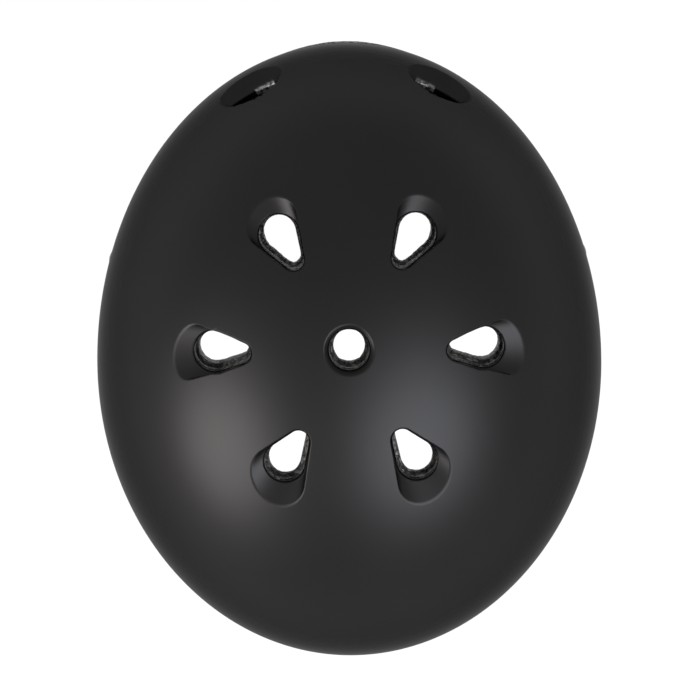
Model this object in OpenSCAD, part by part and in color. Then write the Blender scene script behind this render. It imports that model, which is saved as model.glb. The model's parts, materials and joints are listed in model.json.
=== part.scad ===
// Skate helmet with a foam liner, comfort pads and a two-sided chin harness.
// +Z points up to the crown, -Y is the front, +X the wearer's left. The origin lies where
// the dome is widest, in the middle of the head opening.

/* [Shell] */
// Outside width of the shell at its widest level
shell_w = 222; // [200:1:240]
// Length from the widest level to the front
front_len = 140; // [125:1:155]
// Length from the widest level to the rear
rear_len = 130; // [115:1:145]
// Height of the crown above the widest level
dome_h = 104; // [92:1:116]
// Thickness of the moulded shell
shell_wall = 3; // [2:0.1:4]
// How far the brow lip stands out past the dome
brow_lip = 1.5; // [0.5:0.1:4]
// How far the nape of the shell flares past the dome
nape_flare = 2.5; // [0.5:0.1:6]

/* [Vents] */
// Distance of the six teardrop vents from the round crown vent
vent_ring_r = 55; // [50:0.1:60]
// Radius of a teardrop's round end
vent_r = 8.5; // [6:0.1:11]
// Radius of a teardrop's tip
tip_r = 4.3; // [2:0.1:5]
// Depth of the scoop at the round end
scoop_depth = 5; // [3:0.1:7]
// Radius of the round crown vent
crown_vent_r = 8.4; // [5:0.1:11]

/* [Liner] */
// Thickness of shell and liner together at the sides
side_depth = 23.5; // [18:0.5:30]
// Thickness of shell and liner together at the front
front_depth = 25; // [18:0.5:32]
// Thickness of shell and liner together at the rear
rear_depth = 24; // [18:0.5:32]
// Thickness of shell and liner together at the crown
crown_depth = 23; // [18:0.5:30]
// Thickness of the comfort pads
pad_t = 8; // [4:0.5:12]

/* [Harness] */
// Width of the webbing
strap_w = 16; // [12:0.5:22]
// Thickness of the webbing
strap_t = 1.4; // [1:0.1:2]
// Diameter of the anchor rivets' shanks
rivet_d = 4; // [3:0.1:6]
// Diameter of the anchor rivets' heads
rivet_head_d = 11; // [8:0.5:14]
// How far inside the widest point of the shell the straps hang
hang_in = 26; // [24:0.5:30]

/* [Hidden] */

fine = 96;
coarse = 32;
// Two parts that lie on each other keep this much room
seat = 0.3;
// Room between the shell and the webbing, which is flat across its width
strap_gap = 0.65;
big = 400;

// Shell form
half_w = shell_w / 2;
cavity_w = half_w - side_depth;
cavity_front = front_len - front_depth;
cavity_rear = rear_len - rear_depth;
cavity_h = dome_h - crown_depth;
hang_x = half_w - hang_in;
skirt = 66;
tuck_r = 330;
crown_flat = 0.02;
vent_y = -15;
liner_d = shell_wall + seat;

// Rim line as height over distance from the front, hand-drawn and smoothed
rim_y = [-170, -141, -118, -92, -68, -44, -16, 14, 44, 74, 104, 150];
rim_z = [-9, -9, -12, -21, -33, -39, -37, -34, -40, -51, -57, -59];
rim_steps = 6;

// Height of the dome's outer surface over a point
function dome_z(x, y) =
  dome_h * sqrt(1 - pow(x / half_w, 2) - pow(y / (y < 0 ? front_len : rear_len), 2));
// Angle between the dome's outward normal and the vertical
function dome_tilt(x, y) =
  atan2(norm([x / pow(half_w, 2), y / pow(y < 0 ? front_len : rear_len, 2)]),
    dome_z(x, y) / pow(dome_h, 2));
// Direction of the outward normal seen from above
function wall_turn(x, y) =
  atan2(y / pow(y < 0 ? front_len : rear_len, 2), x / pow(half_w, 2));
// Distance from the middle plane of the skirt's surface, offset inward by d
function wall_x(y, z, d) =
  let (r = half_w - tuck_r + sqrt(tuck_r * tuck_r - z * z) - d)
  let (l = r / half_w * (y < 0 ? front_len : rear_len))
  r * sqrt(1 - pow(y / l, 2));
// Catmull-Rom curve through the values v, n points to a span
function smooth(v, n) =
  let (last = len(v) - 1)
  [for (i = [0:last * n])
    let (k = min(floor(i / n), last - 1), t = i / n - k)
    let (a = v[max(k - 1, 0)], b = v[k], c = v[k + 1], d = v[min(k + 2, last)])
    0.5 * (2 * b + (c - a) * t + (2 * a - 5 * b + 4 * c - d) * t * t + (3 * b - a - 3 * c + d) * t * t * t)];

// Half of an egg-shaped solid: semi-axes w across, l along and h up, with a tucked skirt below
module half_form(w, l, h) {
  scale([1, l / w, h / w])
    rotate_extrude(angle = 180, $fn = fine) {
      intersection() {
        circle(r = w, $fn = fine);
        square([w, w - crown_flat]);
      }
      intersection() {
        translate([w - tuck_r, 0])
          circle(r = tuck_r, $fn = 360);
        translate([0, -skirt * w / h])
          square([w, skirt * w / h]);
      }
    }
}
module form(w, f, r, h) {
  half_form(w, r, h);
  rotate([0, 0, 180])
    half_form(w, f, h);
}
// The shell's outer form, offset inward by d
module offset_form(d) form(half_w - d, front_len - d, rear_len - d, dome_h - d);
// The liner's cavity, offset inward by d
module cavity_form(d) form(cavity_w - d, cavity_front - d, cavity_rear - d, cavity_h - d);

// Brow lip and nape flare: elliptical cones that show only past the dome
lip_w = 96;
lip_h = 14;
lip_base = 0.6;
lip_drop = 0.95;
flare_w = 100;
flare_h = 40;
flare_drop = 0.93;
module flares(d) {
  translate([0, 0, rim_z[1] - lip_base])
    intersection() {
      scale([(lip_w - d) / lip_w, (front_len + brow_lip - d) / lip_w, 1])
        cylinder(r1 = lip_w, r2 = lip_w * lip_drop, h = lip_h, $fn = fine);
      translate([-big / 2, -big, 0])
        cube([big, big, lip_h]);
    }
  translate([0, 0, -skirt])
    intersection() {
      scale([(flare_w - d) / flare_w, (rear_len + nape_flare - d) / flare_w, 1])
        cylinder(r1 = flare_w, r2 = flare_w * flare_drop, h = flare_h, $fn = fine);
      translate([-big / 2, 0, 0])
        cube([big, big / 2, skirt]);
    }
}
// Everything below the rim line, raised by d
module below_rim(d) {
  ys = smooth(rim_y, rim_steps);
  zs = smooth(rim_z, rim_steps);
  translate([-big / 2, 0, d])
    rotate([90, 0, 90])
      linear_extrude(big)
        polygon(concat([for (i = [0:len(ys) - 1]) [ys[i], zs[i]]], [[170, -2 * big], [-170, -2 * big]]));
}

// Teardrop with its round end at the origin and its tip toward -X
flank_in = 0.05;
module teardrop(r, t, l) {
  a = acos((r - t) / l);
  rf = r - flank_in;
  tf = t - flank_in;
  circle(r = r, $fn = 64);
  translate([-l, 0])
    circle(r = t, $fn = 48);
  polygon([[-rf * cos(a), rf * sin(a)], [-l - tf * cos(a), tf * sin(a)],
    [-l - tf * cos(a), -tf * sin(a)], [-rf * cos(a), -rf * sin(a)]]);
}
tip_gap = 11.4;
liner_vent_in = 2.2;

// Children on the left side for s = 1, and mirrored to the right for s = -1
module mirrored(s) mirror([s < 0 ? 1 : 0, 0, 0]) children();

// Scoop: a slanted cone that opens outward, grown by d for the skin around it
scoop_over = 7;
module scoop(r, top_r, depth, shift, d) {
  slope = (top_r - r) / depth;
  lean = shift / depth;
  low = -depth - d;
  high = scoop_over;
  multmatrix([[1, 0, lean, 0], [0, 1, 0, 0], [0, 0, 1, 0], [0, 0, 0, 1]])
    translate([lean * depth, 0, low])
      cylinder(r1 = r + slope * -d + d * 1.45, r2 = r + slope * (high + depth) + d * 1.45,
        h = high - low, $fn = 64);
}

// Ring vents of the left half, measured off the photo: [polar angle about the crown vent,
// distance past the ring, turn of the axis, radius of the scoop at the outer wall, shift of the scoop]
ring_vents = [[1.4, 1.6, 0, 12.2, 15], [-58.7, 0, -58.5, 11.9, 8.8], [59.7, 0, 57.4, 13, 8.7]];
function ring_x(v) = (vent_ring_r + v[1]) * cos(v[0]);
function ring_y(v) = vent_y + (vent_ring_r + v[1]) * sin(v[0]);
// Frame of a ring vent on the dome, s = -1 or 1 for the side
module on_ring(v, s) mirrored(s)
  translate([ring_x(v), ring_y(v), dome_z(ring_x(v), ring_y(v))])
    rotate([0, 0, v[2]])
      children();
// Front vents low on the brow and rear vents above the nape, s = -1 or 1 for the side
front_vent_x = 40;
front_vent_y = -121;
rear_vent_x = 38;
rear_vent_z = -12;
low_vent_r = 12;
low_vent_flat = 0.55;
low_vent_x = 1;
low_floor_r = 9.4;
low_scoop_r = 16.5;
low_shift = 10;
module on_front(s) {
  x = s * front_vent_x;
  translate([x, front_vent_y, dome_z(x, front_vent_y)])
    rotate([0, 0, wall_turn(x, front_vent_y)])
      rotate([0, dome_tilt(x, front_vent_y), 0])
        children();
}
module on_rear(s) {
  x = s * rear_vent_x;
  y = rear_len * sqrt(1 - pow(rear_vent_x / half_w, 2));
  translate([x, y, rear_vent_z])
    rotate([0, 0, wall_turn(x, y)])
      rotate([0, 90, 0])
        children();
}
sink_depth = 4;
sink_h = 8;
// Recesses of the scoops, or with d the skins around them
module scoops(d) {
  for (s = [-1, 1]) {
    for (v = ring_vents)
      on_ring(v, s)
        rotate([0, dome_tilt(ring_x(v), ring_y(v)), 0])
          scoop(vent_r + 0.5, v[3], scoop_depth, v[4], d);
    on_front(s)
      scoop(low_floor_r, low_scoop_r, scoop_depth, low_shift, d);
    on_rear(s)
      scoop(low_floor_r, low_scoop_r, scoop_depth, low_shift, d);
  }
  translate([0, vent_y, dome_z(0, vent_y)])
    rotate([dome_tilt(0, vent_y), 0, 0])
      translate([0, 0, -sink_depth - d])
        cylinder(r1 = crown_vent_r - 1.5 + d, r2 = crown_vent_r - 1.5 + d + sink_h, h = sink_h, $fn = 64);
}
// Oval hole of the low vents, wide along the brow or nape
vent_in = 60;
vent_out = 15;
module low_hole(d) translate([low_vent_x, 0, -vent_in])
  scale([low_vent_flat, 1, 1])
    cylinder(r = low_vent_r - d, h = vent_in + vent_out, $fn = 64);
// The air ways, narrowed by d
module airways(d) {
  for (s = [-1, 1]) {
    for (v = ring_vents)
      on_ring(v, s)
        translate([0, 0, -vent_in])
          linear_extrude(vent_in + 2 * vent_out)
            teardrop(vent_r - d, tip_r - d * 0.4, tip_gap);
    on_front(s)
      low_hole(d);
    on_rear(s)
      low_hole(d);
  }
  translate([0, vent_y, 0])
    cylinder(r = crown_vent_r - d, h = big, $fn = 64);
}

// Anchor points of the straps on the shell: [y, z]
front_anchor = [-46, -20];
rear_anchor = [38, -22];
anchors = [front_anchor, rear_anchor];
// Slope of the skirt's wall at height z, below the widest level
function wall_lean(z) = asin(max(-z, 0) / tuck_r);
// Frame on the outer wall at an anchor, +X outward
module on_wall(p, s) {
  x = wall_x(p[0], p[1], 0);
  mirror([s < 0 ? 1 : 0, 0, 0])
    translate([x, p[0], p[1]])
      rotate([0, 0, wall_turn(x, p[0])])
        rotate([0, wall_lean(p[1]), 0])
          children();
}
module at_anchors() {
  for (s = [-1, 1])
    for (p = anchors)
      on_wall(p, s)
        children();
}
flat_in = 0.6;
module rivet_seats() {
  at_anchors() {
    translate([-flat_in, 0, 0])
      rotate([0, 90, 0])
        cylinder(d = rivet_head_d + 1, h = 6, $fn = coarse);
    translate([-20, 0, 0])
      rotate([0, 90, 0])
        cylinder(d = rivet_d + 0.2, h = 30, $fn = coarse);
  }
}

module shell() color([0.08, 0.08, 0.08]) difference() {
  union() {
    difference() {
      union() {
        offset_form(0);
        flares(0);
      }
      translate([0, 0, -0.01])
        offset_form(shell_wall);
      translate([0, 0, -0.5])
        flares(shell_wall);
    }
    intersection() {
      offset_form(0.05);
      scoops(shell_wall);
    }
  }
  scoops(0);
  airways(0);
  below_rim(0);
  rivet_seats();
}

liner_rim = 4;
channel_w = 12;
channel_d = 5;
channel_x = [-27.8, 0, 27.8];
channel_front = -80;
channel_l = 150;
strap_pocket = 4;
pocket_side = 12;
pocket_h = 74;
pocket_low = -60;
washer_d = 12;
washer_t = 1.2;
washer_room = 6;
module foam_liner() color([0.12, 0.12, 0.13]) difference() {
  offset_form(liner_d);
  translate([0, 0, -0.01])
    cavity_form(0);
  intersection() {
    cavity_form(-channel_d);
    union() {
      for (x = channel_x)
        translate([x - channel_w / 2, channel_front, 0])
          cube([channel_w, channel_l, big]);
    }
  }
  scoops(shell_wall + seat);
  airways(liner_vent_in);
  below_rim(liner_rim);
  at_anchors() {
    translate([-shell_wall - strap_pocket, -strap_w / 2 - pocket_side, pocket_low])
      cube([strap_pocket + 1, strap_w + 2 * pocket_side, pocket_h]);
    translate([-shell_wall - strap_pocket - 4, 0, 0])
      rotate([0, 90, 0])
        cylinder(d = washer_d + 2, h = washer_room, $fn = coarse);
  }
}

// Layer inside the cavity between the offsets a and b
module layer(a, b) difference() {
  cavity_form(a);
  translate([0, 0, -0.01])
    cavity_form(b);
}
dot_t = 1.2;
pad_in = dot_t + seat;
crown_pad_r = 34;
crown_pad_hole = 12;
module crown_pad() color([0.2, 0.2, 0.21]) intersection() {
  layer(pad_in, pad_in + pad_t);
  translate([0, vent_y, 0])
    difference() {
      cylinder(r = crown_pad_r, h = big / 2, $fn = 64);
      cylinder(r = crown_pad_hole, h = big, center = true, $fn = 64);
    }
}
brow_half = 60;
brow_back = 60;
brow_low = -3;
brow_h = 25;
module brow_pad() color([0.2, 0.2, 0.21]) intersection() {
  layer(pad_in, pad_in + pad_t);
  translate([-brow_half, -big, brow_low])
    cube([2 * brow_half, big - brow_back, brow_h]);
}
nape_half = 46;
nape_low = -44;
nape_h = 34;
module nape_pad() color([0.2, 0.2, 0.21]) intersection() {
  layer(pad_in, pad_in + pad_t);
  translate([-nape_half, 60, nape_low])
    cube([2 * nape_half, big, nape_h]);
}
side_front = -52;
side_len = 84;
side_low = -24;
side_h = 46;
module side_pad(s) color([0.2, 0.2, 0.21]) mirror([s < 0 ? 1 : 0, 0, 0]) intersection() {
  layer(pad_in, pad_in + pad_t);
  translate([50, side_front, side_low])
    cube([big, side_len, side_h]);
}

dot_r = 7;
dot_reach = 80;
module hook_dots() color([0.3, 0.3, 0.3]) intersection() {
  layer(0.05, dot_t);
  union() {
    for (a = [30, 150, 270])
      translate([0, vent_y, 0])
        rotate([0, 0, a])
          translate([23, 0, 40])
            cylinder(r = dot_r, h = dot_reach, $fn = coarse);
    for (x = [-42, 42])
      translate([x, 0, brow_low + brow_h / 2])
        rotate([90, 0, 0])
          cylinder(r = dot_r, h = big, $fn = coarse);
    for (x = [-26, 26])
      translate([x, 60, nape_low + nape_h / 2])
        rotate([-90, 0, 0])
          cylinder(r = dot_r, h = big, $fn = coarse);
    for (s = [-1, 1])
      for (y = [side_front + 16, side_front + side_len - 16])
        translate([s * 50, y, side_low + side_h / 2])
          rotate([0, s * 90, 0])
            cylinder(r = dot_r, h = dot_reach, $fn = coarse);
  }
}

// Rivets: a domed head in the shell's flat recess, a shank through shell and webbing, a rolled end
head_t = 2.4;
stack = shell_wall - flat_in + strap_gap + strap_t + seat + washer_t;
module anchor_rivets() color([0.15, 0.15, 0.16]) at_anchors() {
  translate([-flat_in + 0.02, 0, 0])
    rotate([0, 90, 0])
      rotate_extrude($fn = 48)
        intersection() {
          translate([0, head_t - 8])
            circle(r = 8, $fn = 96);
          square([rivet_head_d / 2, head_t]);
        }
  translate([-flat_in - stack - 0.8, 0, 0])
    rotate([0, 90, 0])
      cylinder(d = rivet_d, h = stack + 1, $fn = coarse);
  translate([-flat_in - stack - 1.2, 0, 0])
    rotate([0, 90, 0])
      cylinder(d = rivet_d + 2.6, h = 1.1, $fn = coarse);
}
module anchor_washers() color([0.6, 0.6, 0.6]) at_anchors()
  translate([-flat_in - stack + 0.05, 0, 0])
    rotate([0, 90, 0])
      difference() {
        cylinder(d = washer_d, h = washer_t - 0.1, $fn = coarse);
        translate([0, 0, -1])
          cylinder(d = rivet_d + 0.3, h = 4, $fn = coarse);
      }

// Band of webbing along points p with face normals n
function unit(v) = v / norm(v);
module band(p, n) {
  m = len(p);
  t = [for (i = [0:m - 1]) unit(p[min(i + 1, m - 1)] - p[max(i - 1, 0)])];
  w = [for (i = [0:m - 1]) unit(cross(n[i], t[i])) * strap_w / 2];
  h = [for (i = [0:m - 1]) unit(cross(t[i], w[i])) * strap_t / 2];
  v = [for (i = [0:m - 1]) for (c = [[1, 1], [-1, 1], [-1, -1], [1, -1]]) p[i] + w[i] * c[0] + h[i] * c[1]];
  sides = [for (i = [0:m - 2]) for (k = [0:3])
    [4 * i + k, 4 * i + (k + 1) % 4, 4 * i + 4 + (k + 1) % 4, 4 * i + 4 + k]];
  tris = [for (q = sides) for (s = [0, 1]) s == 0 ? [q[0], q[1], q[2]] : [q[0], q[2], q[3]]];
  e = 4 * (m - 1);
  polyhedron(v, concat(tris, [[3, 2, 1], [3, 1, 0], [e, e + 1, e + 2], [e, e + 2, e + 3]]));
}

// Routes of the straps on the left side, hand-drawn from the anchors down to the buckle
hang_y = -8;
div_z = -92;
ply = strap_t / 2 + 0.15;
above = 9;
strap_in = shell_wall + strap_gap + strap_t / 2;
route_steps = 5;
buckle_z = -152;
bar_t = 2.6;
pass = bar_t / 2 + seat + strap_t / 2;

// Upper part of a route: p is the anchor, k = 1 the outer layer and -1 the inner one
function slant(p, z) = p[0] + (z - p[1]) * (hang_y - p[0]) / (div_z + 6 - p[1]);
function on_skirt(p, z) = [wall_x(slant(p, z), z, strap_in), slant(p, z), z];
// Below the rim the route moves in to the hanging line: v is [height, share of the way still to go]
below = [[-43.5, 0.93], [-49, 0.76], [-55, 0.5], [-61, 0.25], [-66, 0.09], [-70, 0.01], [-74, 0], [-79, 0], [-84.5, 0]];
rim_pass = -37;
function leg(p, k) =
  let (hx = hang_x + k * ply)
  let (dx = on_skirt(p, rim_pass)[0] - hx)
  concat([for (z = [p[1] + above, p[1], -30, rim_pass]) on_skirt(p, z)],
    [for (v = below) [hx + v[1] * dx, slant(p, v[0]), v[0]]],
    [[hx, hang_y, -96], [hx, hang_y, -104]]);
// Lower parts: the inner layers end below the divider, the outer ones reach the buckle
inner_end = [[hang_x - ply, hang_y, -118]];
socket_loop = [for (q = [[ply, -128], [pass, -142], [pass, buckle_z], [pass * 0.72, buckle_z - 2.4],
    [0, buckle_z - 3.3], [-pass * 0.72, buckle_z - 2.4], [-pass, buckle_z], [-pass, -143], [-pass, -132]])
  [hang_x + q[0], hang_y, q[1]]];
slot_h = 4.5;
bar_h = 2.5;
plug_z = -150;
pitch = bar_h + slot_h;
tail_x = -pass - strap_t - seat;
// Down the inside, below the middle bar of the plug, up over it and out behind the top bar
plug_weave = [for (q = [[ply, 31], [-0.4, 28], [-3, 24.5], [tail_x, 21.5], [tail_x, 14], [tail_x, 3],
    [tail_x, -6.6], [tail_x + 0.7, -9.6], [-1.7, -11], [0.2, -11.1], [1.8, -10.3], [pass, -8.25], [1.8, -6.2],
    [0.2, -5.5], [-1.5, -4.7], [-pass, -2.4], [-pass, 3], [-pass, 11], [-pass, 19.5]])
  [hang_x + q[0], hang_y, plug_z + q[1]]];

// Points and rough face normals of a whole route
function curve(q) =
  let (x = smooth([for (v = q) v[0]], route_steps))
  let (y = smooth([for (v = q) v[1]], route_steps))
  let (z = smooth([for (v = q) v[2]], route_steps))
  [for (i = [0:len(x) - 1]) [x[i], y[i], z[i]]];
function wall_normal(y, z) =
  let (a = wall_turn(wall_x(y, z, 0), y))
  let (b = wall_lean(z))
  [cos(a) * cos(b), sin(a) * cos(b), -sin(b)];
turn_top = -42;
turn_low = -69;
// The normals turn with the route: t is the tangent in the plane across the helmet
function side_normal(t) = abs(t[0]) < 0.01 ? [t[2] < 0 ? 1 : -1, 0, 0] : [-t[2], 0, t[0]];
module strap(p, low, k) {
  c = curve(concat(leg(p, k), low));
  n = [for (i = [0:len(c) - 1])
    let (t = unit(c[min(i + 1, len(c) - 1)] - c[max(i - 1, 0)]))
    let (z = c[i][2])
    let (f = (turn_top - z) / (turn_top - turn_low))
    let (wn = wall_normal(c[i][1], max(z, turn_top)))
    f <= 0 ? wn : f < 1 ? unit(wn * (1 - f) + [1, 0, 0] * f) : side_normal(t)];
  difference() {
    band(c, n);
    on_wall(p, 1)
      translate([-20, 0, 0])
        rotate([0, 90, 0])
          cylinder(d = rivet_d + 0.3, h = 30, $fn = coarse);
  }
}
module strap_front(s, low) color([0.1, 0.1, 0.1]) mirrored(s) strap(front_anchor, low, 1);
module strap_rear(s) color([0.1, 0.1, 0.1]) mirrored(s) strap(rear_anchor, inner_end, -1);

// Local frame of the hanging parts at height z: X outward, Y to the rear
module hung(s, z) mirrored(s) translate([hang_x, hang_y, z]) children();

// Divider: a base with two rails that keep the straps, and a lid hinged at its lower end
rail_t = 2;
strap_fit = 0.5;
plate_t = 1.8;
in_face = strap_t + 0.15 + seat;
neck_w = strap_w / 2 + strap_fit;
fan_w = 17.5;
div_low = -14;
div_top = 15;
neck_top = -1;
module fan_plate(grow) polygon([[-neck_w - grow, div_low], [neck_w + grow, div_low], [neck_w + grow, neck_top],
  [fan_w + grow, div_top], [-fan_w - grow, div_top], [-neck_w - grow, neck_top]]);
// Plate with its outline in the Y-Z plane, from x = a to b
module plate(a, b) translate([a, 0, 0]) rotate([90, 0, 90]) linear_extrude(b - a) children();
pin_d = 2;
pin_fit = 0.06;
knuckle_d = 3.6;
lug_w = 2;
hinge_x = in_face + knuckle_d / 2;
hinge_z = div_low + 2.5;
module divider_base(s) color([0.13, 0.13, 0.13]) hung(s, div_z) difference() {
  union() {
    plate(-in_face - plate_t, -in_face)
      fan_plate(rail_t);
    plate(-in_face - 0.01, in_face - seat)
      difference() {
        fan_plate(rail_t);
        polygon([[-neck_w, div_low - 1], [neck_w, div_low - 1], [neck_w, neck_top],
          [fan_w, div_top], [fan_w, div_top + 1], [-fan_w, div_top + 1], [-fan_w, div_top], [-neck_w, neck_top]]);
      }
    for (k = [-1, 1])
      translate([0, k * (neck_w + rail_t / 2), 0]) {
        translate([hinge_x, -lug_w / 2, hinge_z])
          rotate([-90, 0, 0])
            cylinder(d = knuckle_d, h = lug_w, $fn = coarse);
        translate([0, -lug_w / 2, hinge_z - knuckle_d / 2])
          cube([hinge_x, lug_w, knuckle_d]);
      }
  }
  translate([hinge_x, -big / 2, hinge_z])
    rotate([-90, 0, 0])
      cylinder(r = pin_d / 2 + pin_fit, h = big, $fn = coarse);
  for (z = [-6, 0, 6])
    translate([-in_face - plate_t - 0.01, -neck_w + 2, z - 0.6])
      cube([0.5, 2 * neck_w - 4, 1.2]);
}
lid_gap = 0.35;
module divider_lid(s) color([0.13, 0.13, 0.13]) hung(s, div_z) {
  plate(in_face, in_face + plate_t)
    difference() {
      fan_plate(rail_t);
      translate([-big / 2, div_low - 1])
        square([big, hinge_z - div_low + 1 + knuckle_d / 2 + 0.6]);
    }
  plate(in_face, in_face + plate_t)
    translate([-neck_w + lid_gap, hinge_z])
      square([2 * (neck_w - lid_gap), 4]);
  translate([hinge_x, -neck_w + lid_gap, hinge_z])
    rotate([-90, 0, 0])
      cylinder(d = knuckle_d, h = 2 * (neck_w - lid_gap), $fn = coarse);
  translate([hinge_x, -neck_w - rail_t + 0.1, hinge_z])
    rotate([-90, 0, 0])
      cylinder(d = pin_d, h = 2 * (neck_w + rail_t - 0.1), $fn = coarse);
  for (k = [-1, 1])
    translate([-0.5, k * (fan_w + rail_t + lid_gap + 0.7) - 0.7, div_top - 5])
      cube([in_face + plate_t + 0.5, 1.4, 5]);
  for (k = [-1, 1])
    translate([in_face, k * (fan_w + rail_t) - (k > 0 ? 1 : 0.5 + lid_gap), div_top - 5])
      cube([plate_t, 1.5 + lid_gap, 5]);
  for (z = [2, 5, 8])
    translate([in_face + plate_t - 0.01, -7, z])
      cube([0.6, 14, 1.2]);
}

// Side-release buckle, 16 mm webbing: the socket's cavity sets the plug's sizes
cav_w = strap_w + 2.6;
cav_t = 4.8;
fit = 0.3;
wall_w = 1.9;
wall_t = 2;
buckle_w = cav_w + 2 * wall_w;
buckle_t = cav_t + 2 * wall_t;
socket_len = 22;
prong_len = 17;
shoulder = 6;
window_len = 9;
eye = strap_w + 1;
// Rounded bar section in the X-Y plane
module soft_rect(x, y, r) {
  square([x - 2 * r, y], center = true);
  square([x, y - 2 * r], center = true);
  for (i = [-1, 1])
    for (k = [-1, 1])
      translate([i * (x / 2 - r), k * (y / 2 - r)])
        circle(r = r, $fn = 24);
}
socket_top = -7;
module buckle_socket() color([0.1, 0.1, 0.1]) hung(1, buckle_z) difference() {
  union() {
    translate([0, 0, socket_top - socket_len])
      linear_extrude(socket_len)
        soft_rect(buckle_t, buckle_w, 2.2);
    for (k = [-1, 1])
      translate([-bar_t / 2, k * (eye / 2 + 0.9 + 0.55) - 1.45, socket_top - 1])
        cube([bar_t, 2.9, -socket_top + 1 + bar_h / 2]);
    translate([-bar_t / 2, -buckle_w / 2, -bar_h / 2])
      cube([bar_t, buckle_w, bar_h]);
  }
  translate([-cav_t / 2, -cav_w / 2, socket_top - socket_len - 1])
    cube([cav_t, cav_w, socket_len - 1]);
  translate([-cav_t / 2, -big / 2, socket_top - socket_len + shoulder])
    cube([cav_t, big, window_len]);
  for (k = [-1, 1])
    translate([k * (buckle_t / 2 + 5.2), 0, socket_top - socket_len / 2])
      rotate([90, 0, 0])
        cylinder(r = 5.7, h = 9, center = true, $fn = 48);
}
head_l = 4.5;
ladder_l = 3 * bar_h + 2 * slot_h;
prong_t = cav_t - 2 * fit;
prong_w = 2.4;
prong_y = cav_w / 2 - fit - prong_w / 2;
root_d = 3.2;
root_l = 2;
swing = 9;
// The plug hangs from the right strap, its ladder's top edge at plug_z and its head's face at 0
plug_face = plug_z - ladder_l - head_l;
module buckle_plug() color([0.1, 0.1, 0.1]) hung(-1, plug_face) difference() {
  union() {
    linear_extrude(head_l)
      soft_rect(buckle_t, buckle_w, 2.2);
    translate([0, 0, head_l - 0.01])
      linear_extrude(ladder_l + 0.01)
        soft_rect(bar_t, buckle_w, 1);
    translate([-1.5, -2.3, -11])
      cube([3, 4.6, 11.1]);
    translate([0, 0, -11])
      rotate([0, 90, 0])
        cylinder(r = 2.3, h = 3, center = true, $fn = coarse);
  }
  for (i = [0, 1])
    translate([-big / 2, -eye / 2, head_l + bar_h + i * pitch])
      cube([big, eye, slot_h]);
  for (k = [-1, 1]) {
    translate([0, k * prong_y, root_l])
      rotate([0, 90, 0])
        cylinder(d = root_d + 0.16, h = prong_t + 0.3, center = true, $fn = coarse);
    translate([-prong_t / 2 - 0.15, k * prong_y - prong_w / 2 - 0.35, -1])
      cube([prong_t + 0.3, prong_w + 0.7, root_l + 1]);
  }
}
barb = 2.6;
module buckle_prong(k) color([0.1, 0.1, 0.1]) hung(-1, plug_face) translate([0, k * prong_y, 0]) {
  translate([-prong_t / 2, 0, 0])
    rotate([90, 0, 90])
      linear_extrude(prong_t)
        scale([k, 1])
          polygon([[-prong_w / 2, root_l], [prong_w / 2, root_l], [prong_w / 2, -shoulder - fit],
            [prong_w / 2 + barb, -shoulder - fit - 0.6], [prong_w / 2 + barb, -shoulder - 3.4],
            [prong_w / 2 + 0.2, -shoulder - window_len + 0.8], [prong_w / 2 - 1.4, -prong_len],
            [-prong_w / 2 - 0.4, -prong_len], [-prong_w / 2 - 0.2, -12]]);
  translate([0, 0, root_l])
    rotate([0, 90, 0])
      cylinder(d = root_d, h = prong_t, center = true, $fn = coarse);
}
keeper_t = 1.3;
keeper_l = 5;
keeper_in = 2 * strap_t + seat + 0.6;
module tail_keeper() color([0.05, 0.05, 0.05]) hung(-1, plug_z + 5.5)
  translate([(-pass + tail_x) / 2, 0, 0])
    linear_extrude(keeper_l)
      difference() {
        soft_rect(keeper_in + 2 * keeper_t, strap_w + 0.8 + 2 * keeper_t, 1.2);
        square([keeper_in, strap_w + 0.8], center = true);
      }

shell();
foam_liner();
crown_pad();
brow_pad();
nape_pad();
side_pad(1);  // side_pad_left
side_pad(-1);  // side_pad_right
hook_dots();
anchor_rivets();
anchor_washers();
strap_front(1, socket_loop);  // strap_left_front
strap_rear(1);  // strap_left_rear
strap_front(-1, plug_weave);  // strap_right_front
strap_rear(-1);  // strap_right_rear
divider_base(1);  // divider_base_left
divider_lid(1);  // divider_lid_left
divider_base(-1);  // divider_base_right
divider_lid(-1);  // divider_lid_right
buckle_socket();
buckle_plug();
buckle_prong(-1);  // buckle_prong_front
buckle_prong(1);  // buckle_prong_rear
tail_keeper();
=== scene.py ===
import json
import math

import bmesh
import bpy
import numpy as np
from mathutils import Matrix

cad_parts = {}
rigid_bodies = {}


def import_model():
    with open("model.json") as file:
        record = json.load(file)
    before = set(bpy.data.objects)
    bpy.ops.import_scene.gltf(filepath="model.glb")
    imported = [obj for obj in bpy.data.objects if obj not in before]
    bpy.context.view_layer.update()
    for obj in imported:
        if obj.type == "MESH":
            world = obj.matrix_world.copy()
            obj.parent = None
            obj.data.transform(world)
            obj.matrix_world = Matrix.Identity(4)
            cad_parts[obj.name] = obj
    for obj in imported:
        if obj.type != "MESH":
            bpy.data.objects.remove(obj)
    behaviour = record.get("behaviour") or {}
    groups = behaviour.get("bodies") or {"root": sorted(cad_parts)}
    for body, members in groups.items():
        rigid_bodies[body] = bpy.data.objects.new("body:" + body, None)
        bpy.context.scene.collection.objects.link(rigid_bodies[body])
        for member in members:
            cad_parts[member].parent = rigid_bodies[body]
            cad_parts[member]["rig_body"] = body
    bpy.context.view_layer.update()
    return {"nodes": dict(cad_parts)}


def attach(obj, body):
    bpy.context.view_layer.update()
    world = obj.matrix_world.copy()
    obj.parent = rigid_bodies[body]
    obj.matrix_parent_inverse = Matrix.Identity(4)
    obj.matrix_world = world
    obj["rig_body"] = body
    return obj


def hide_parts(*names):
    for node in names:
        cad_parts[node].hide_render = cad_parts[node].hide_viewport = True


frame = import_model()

import openvdb
from mathutils import Matrix, Vector
from mathutils.bvhtree import BVHTree

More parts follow.
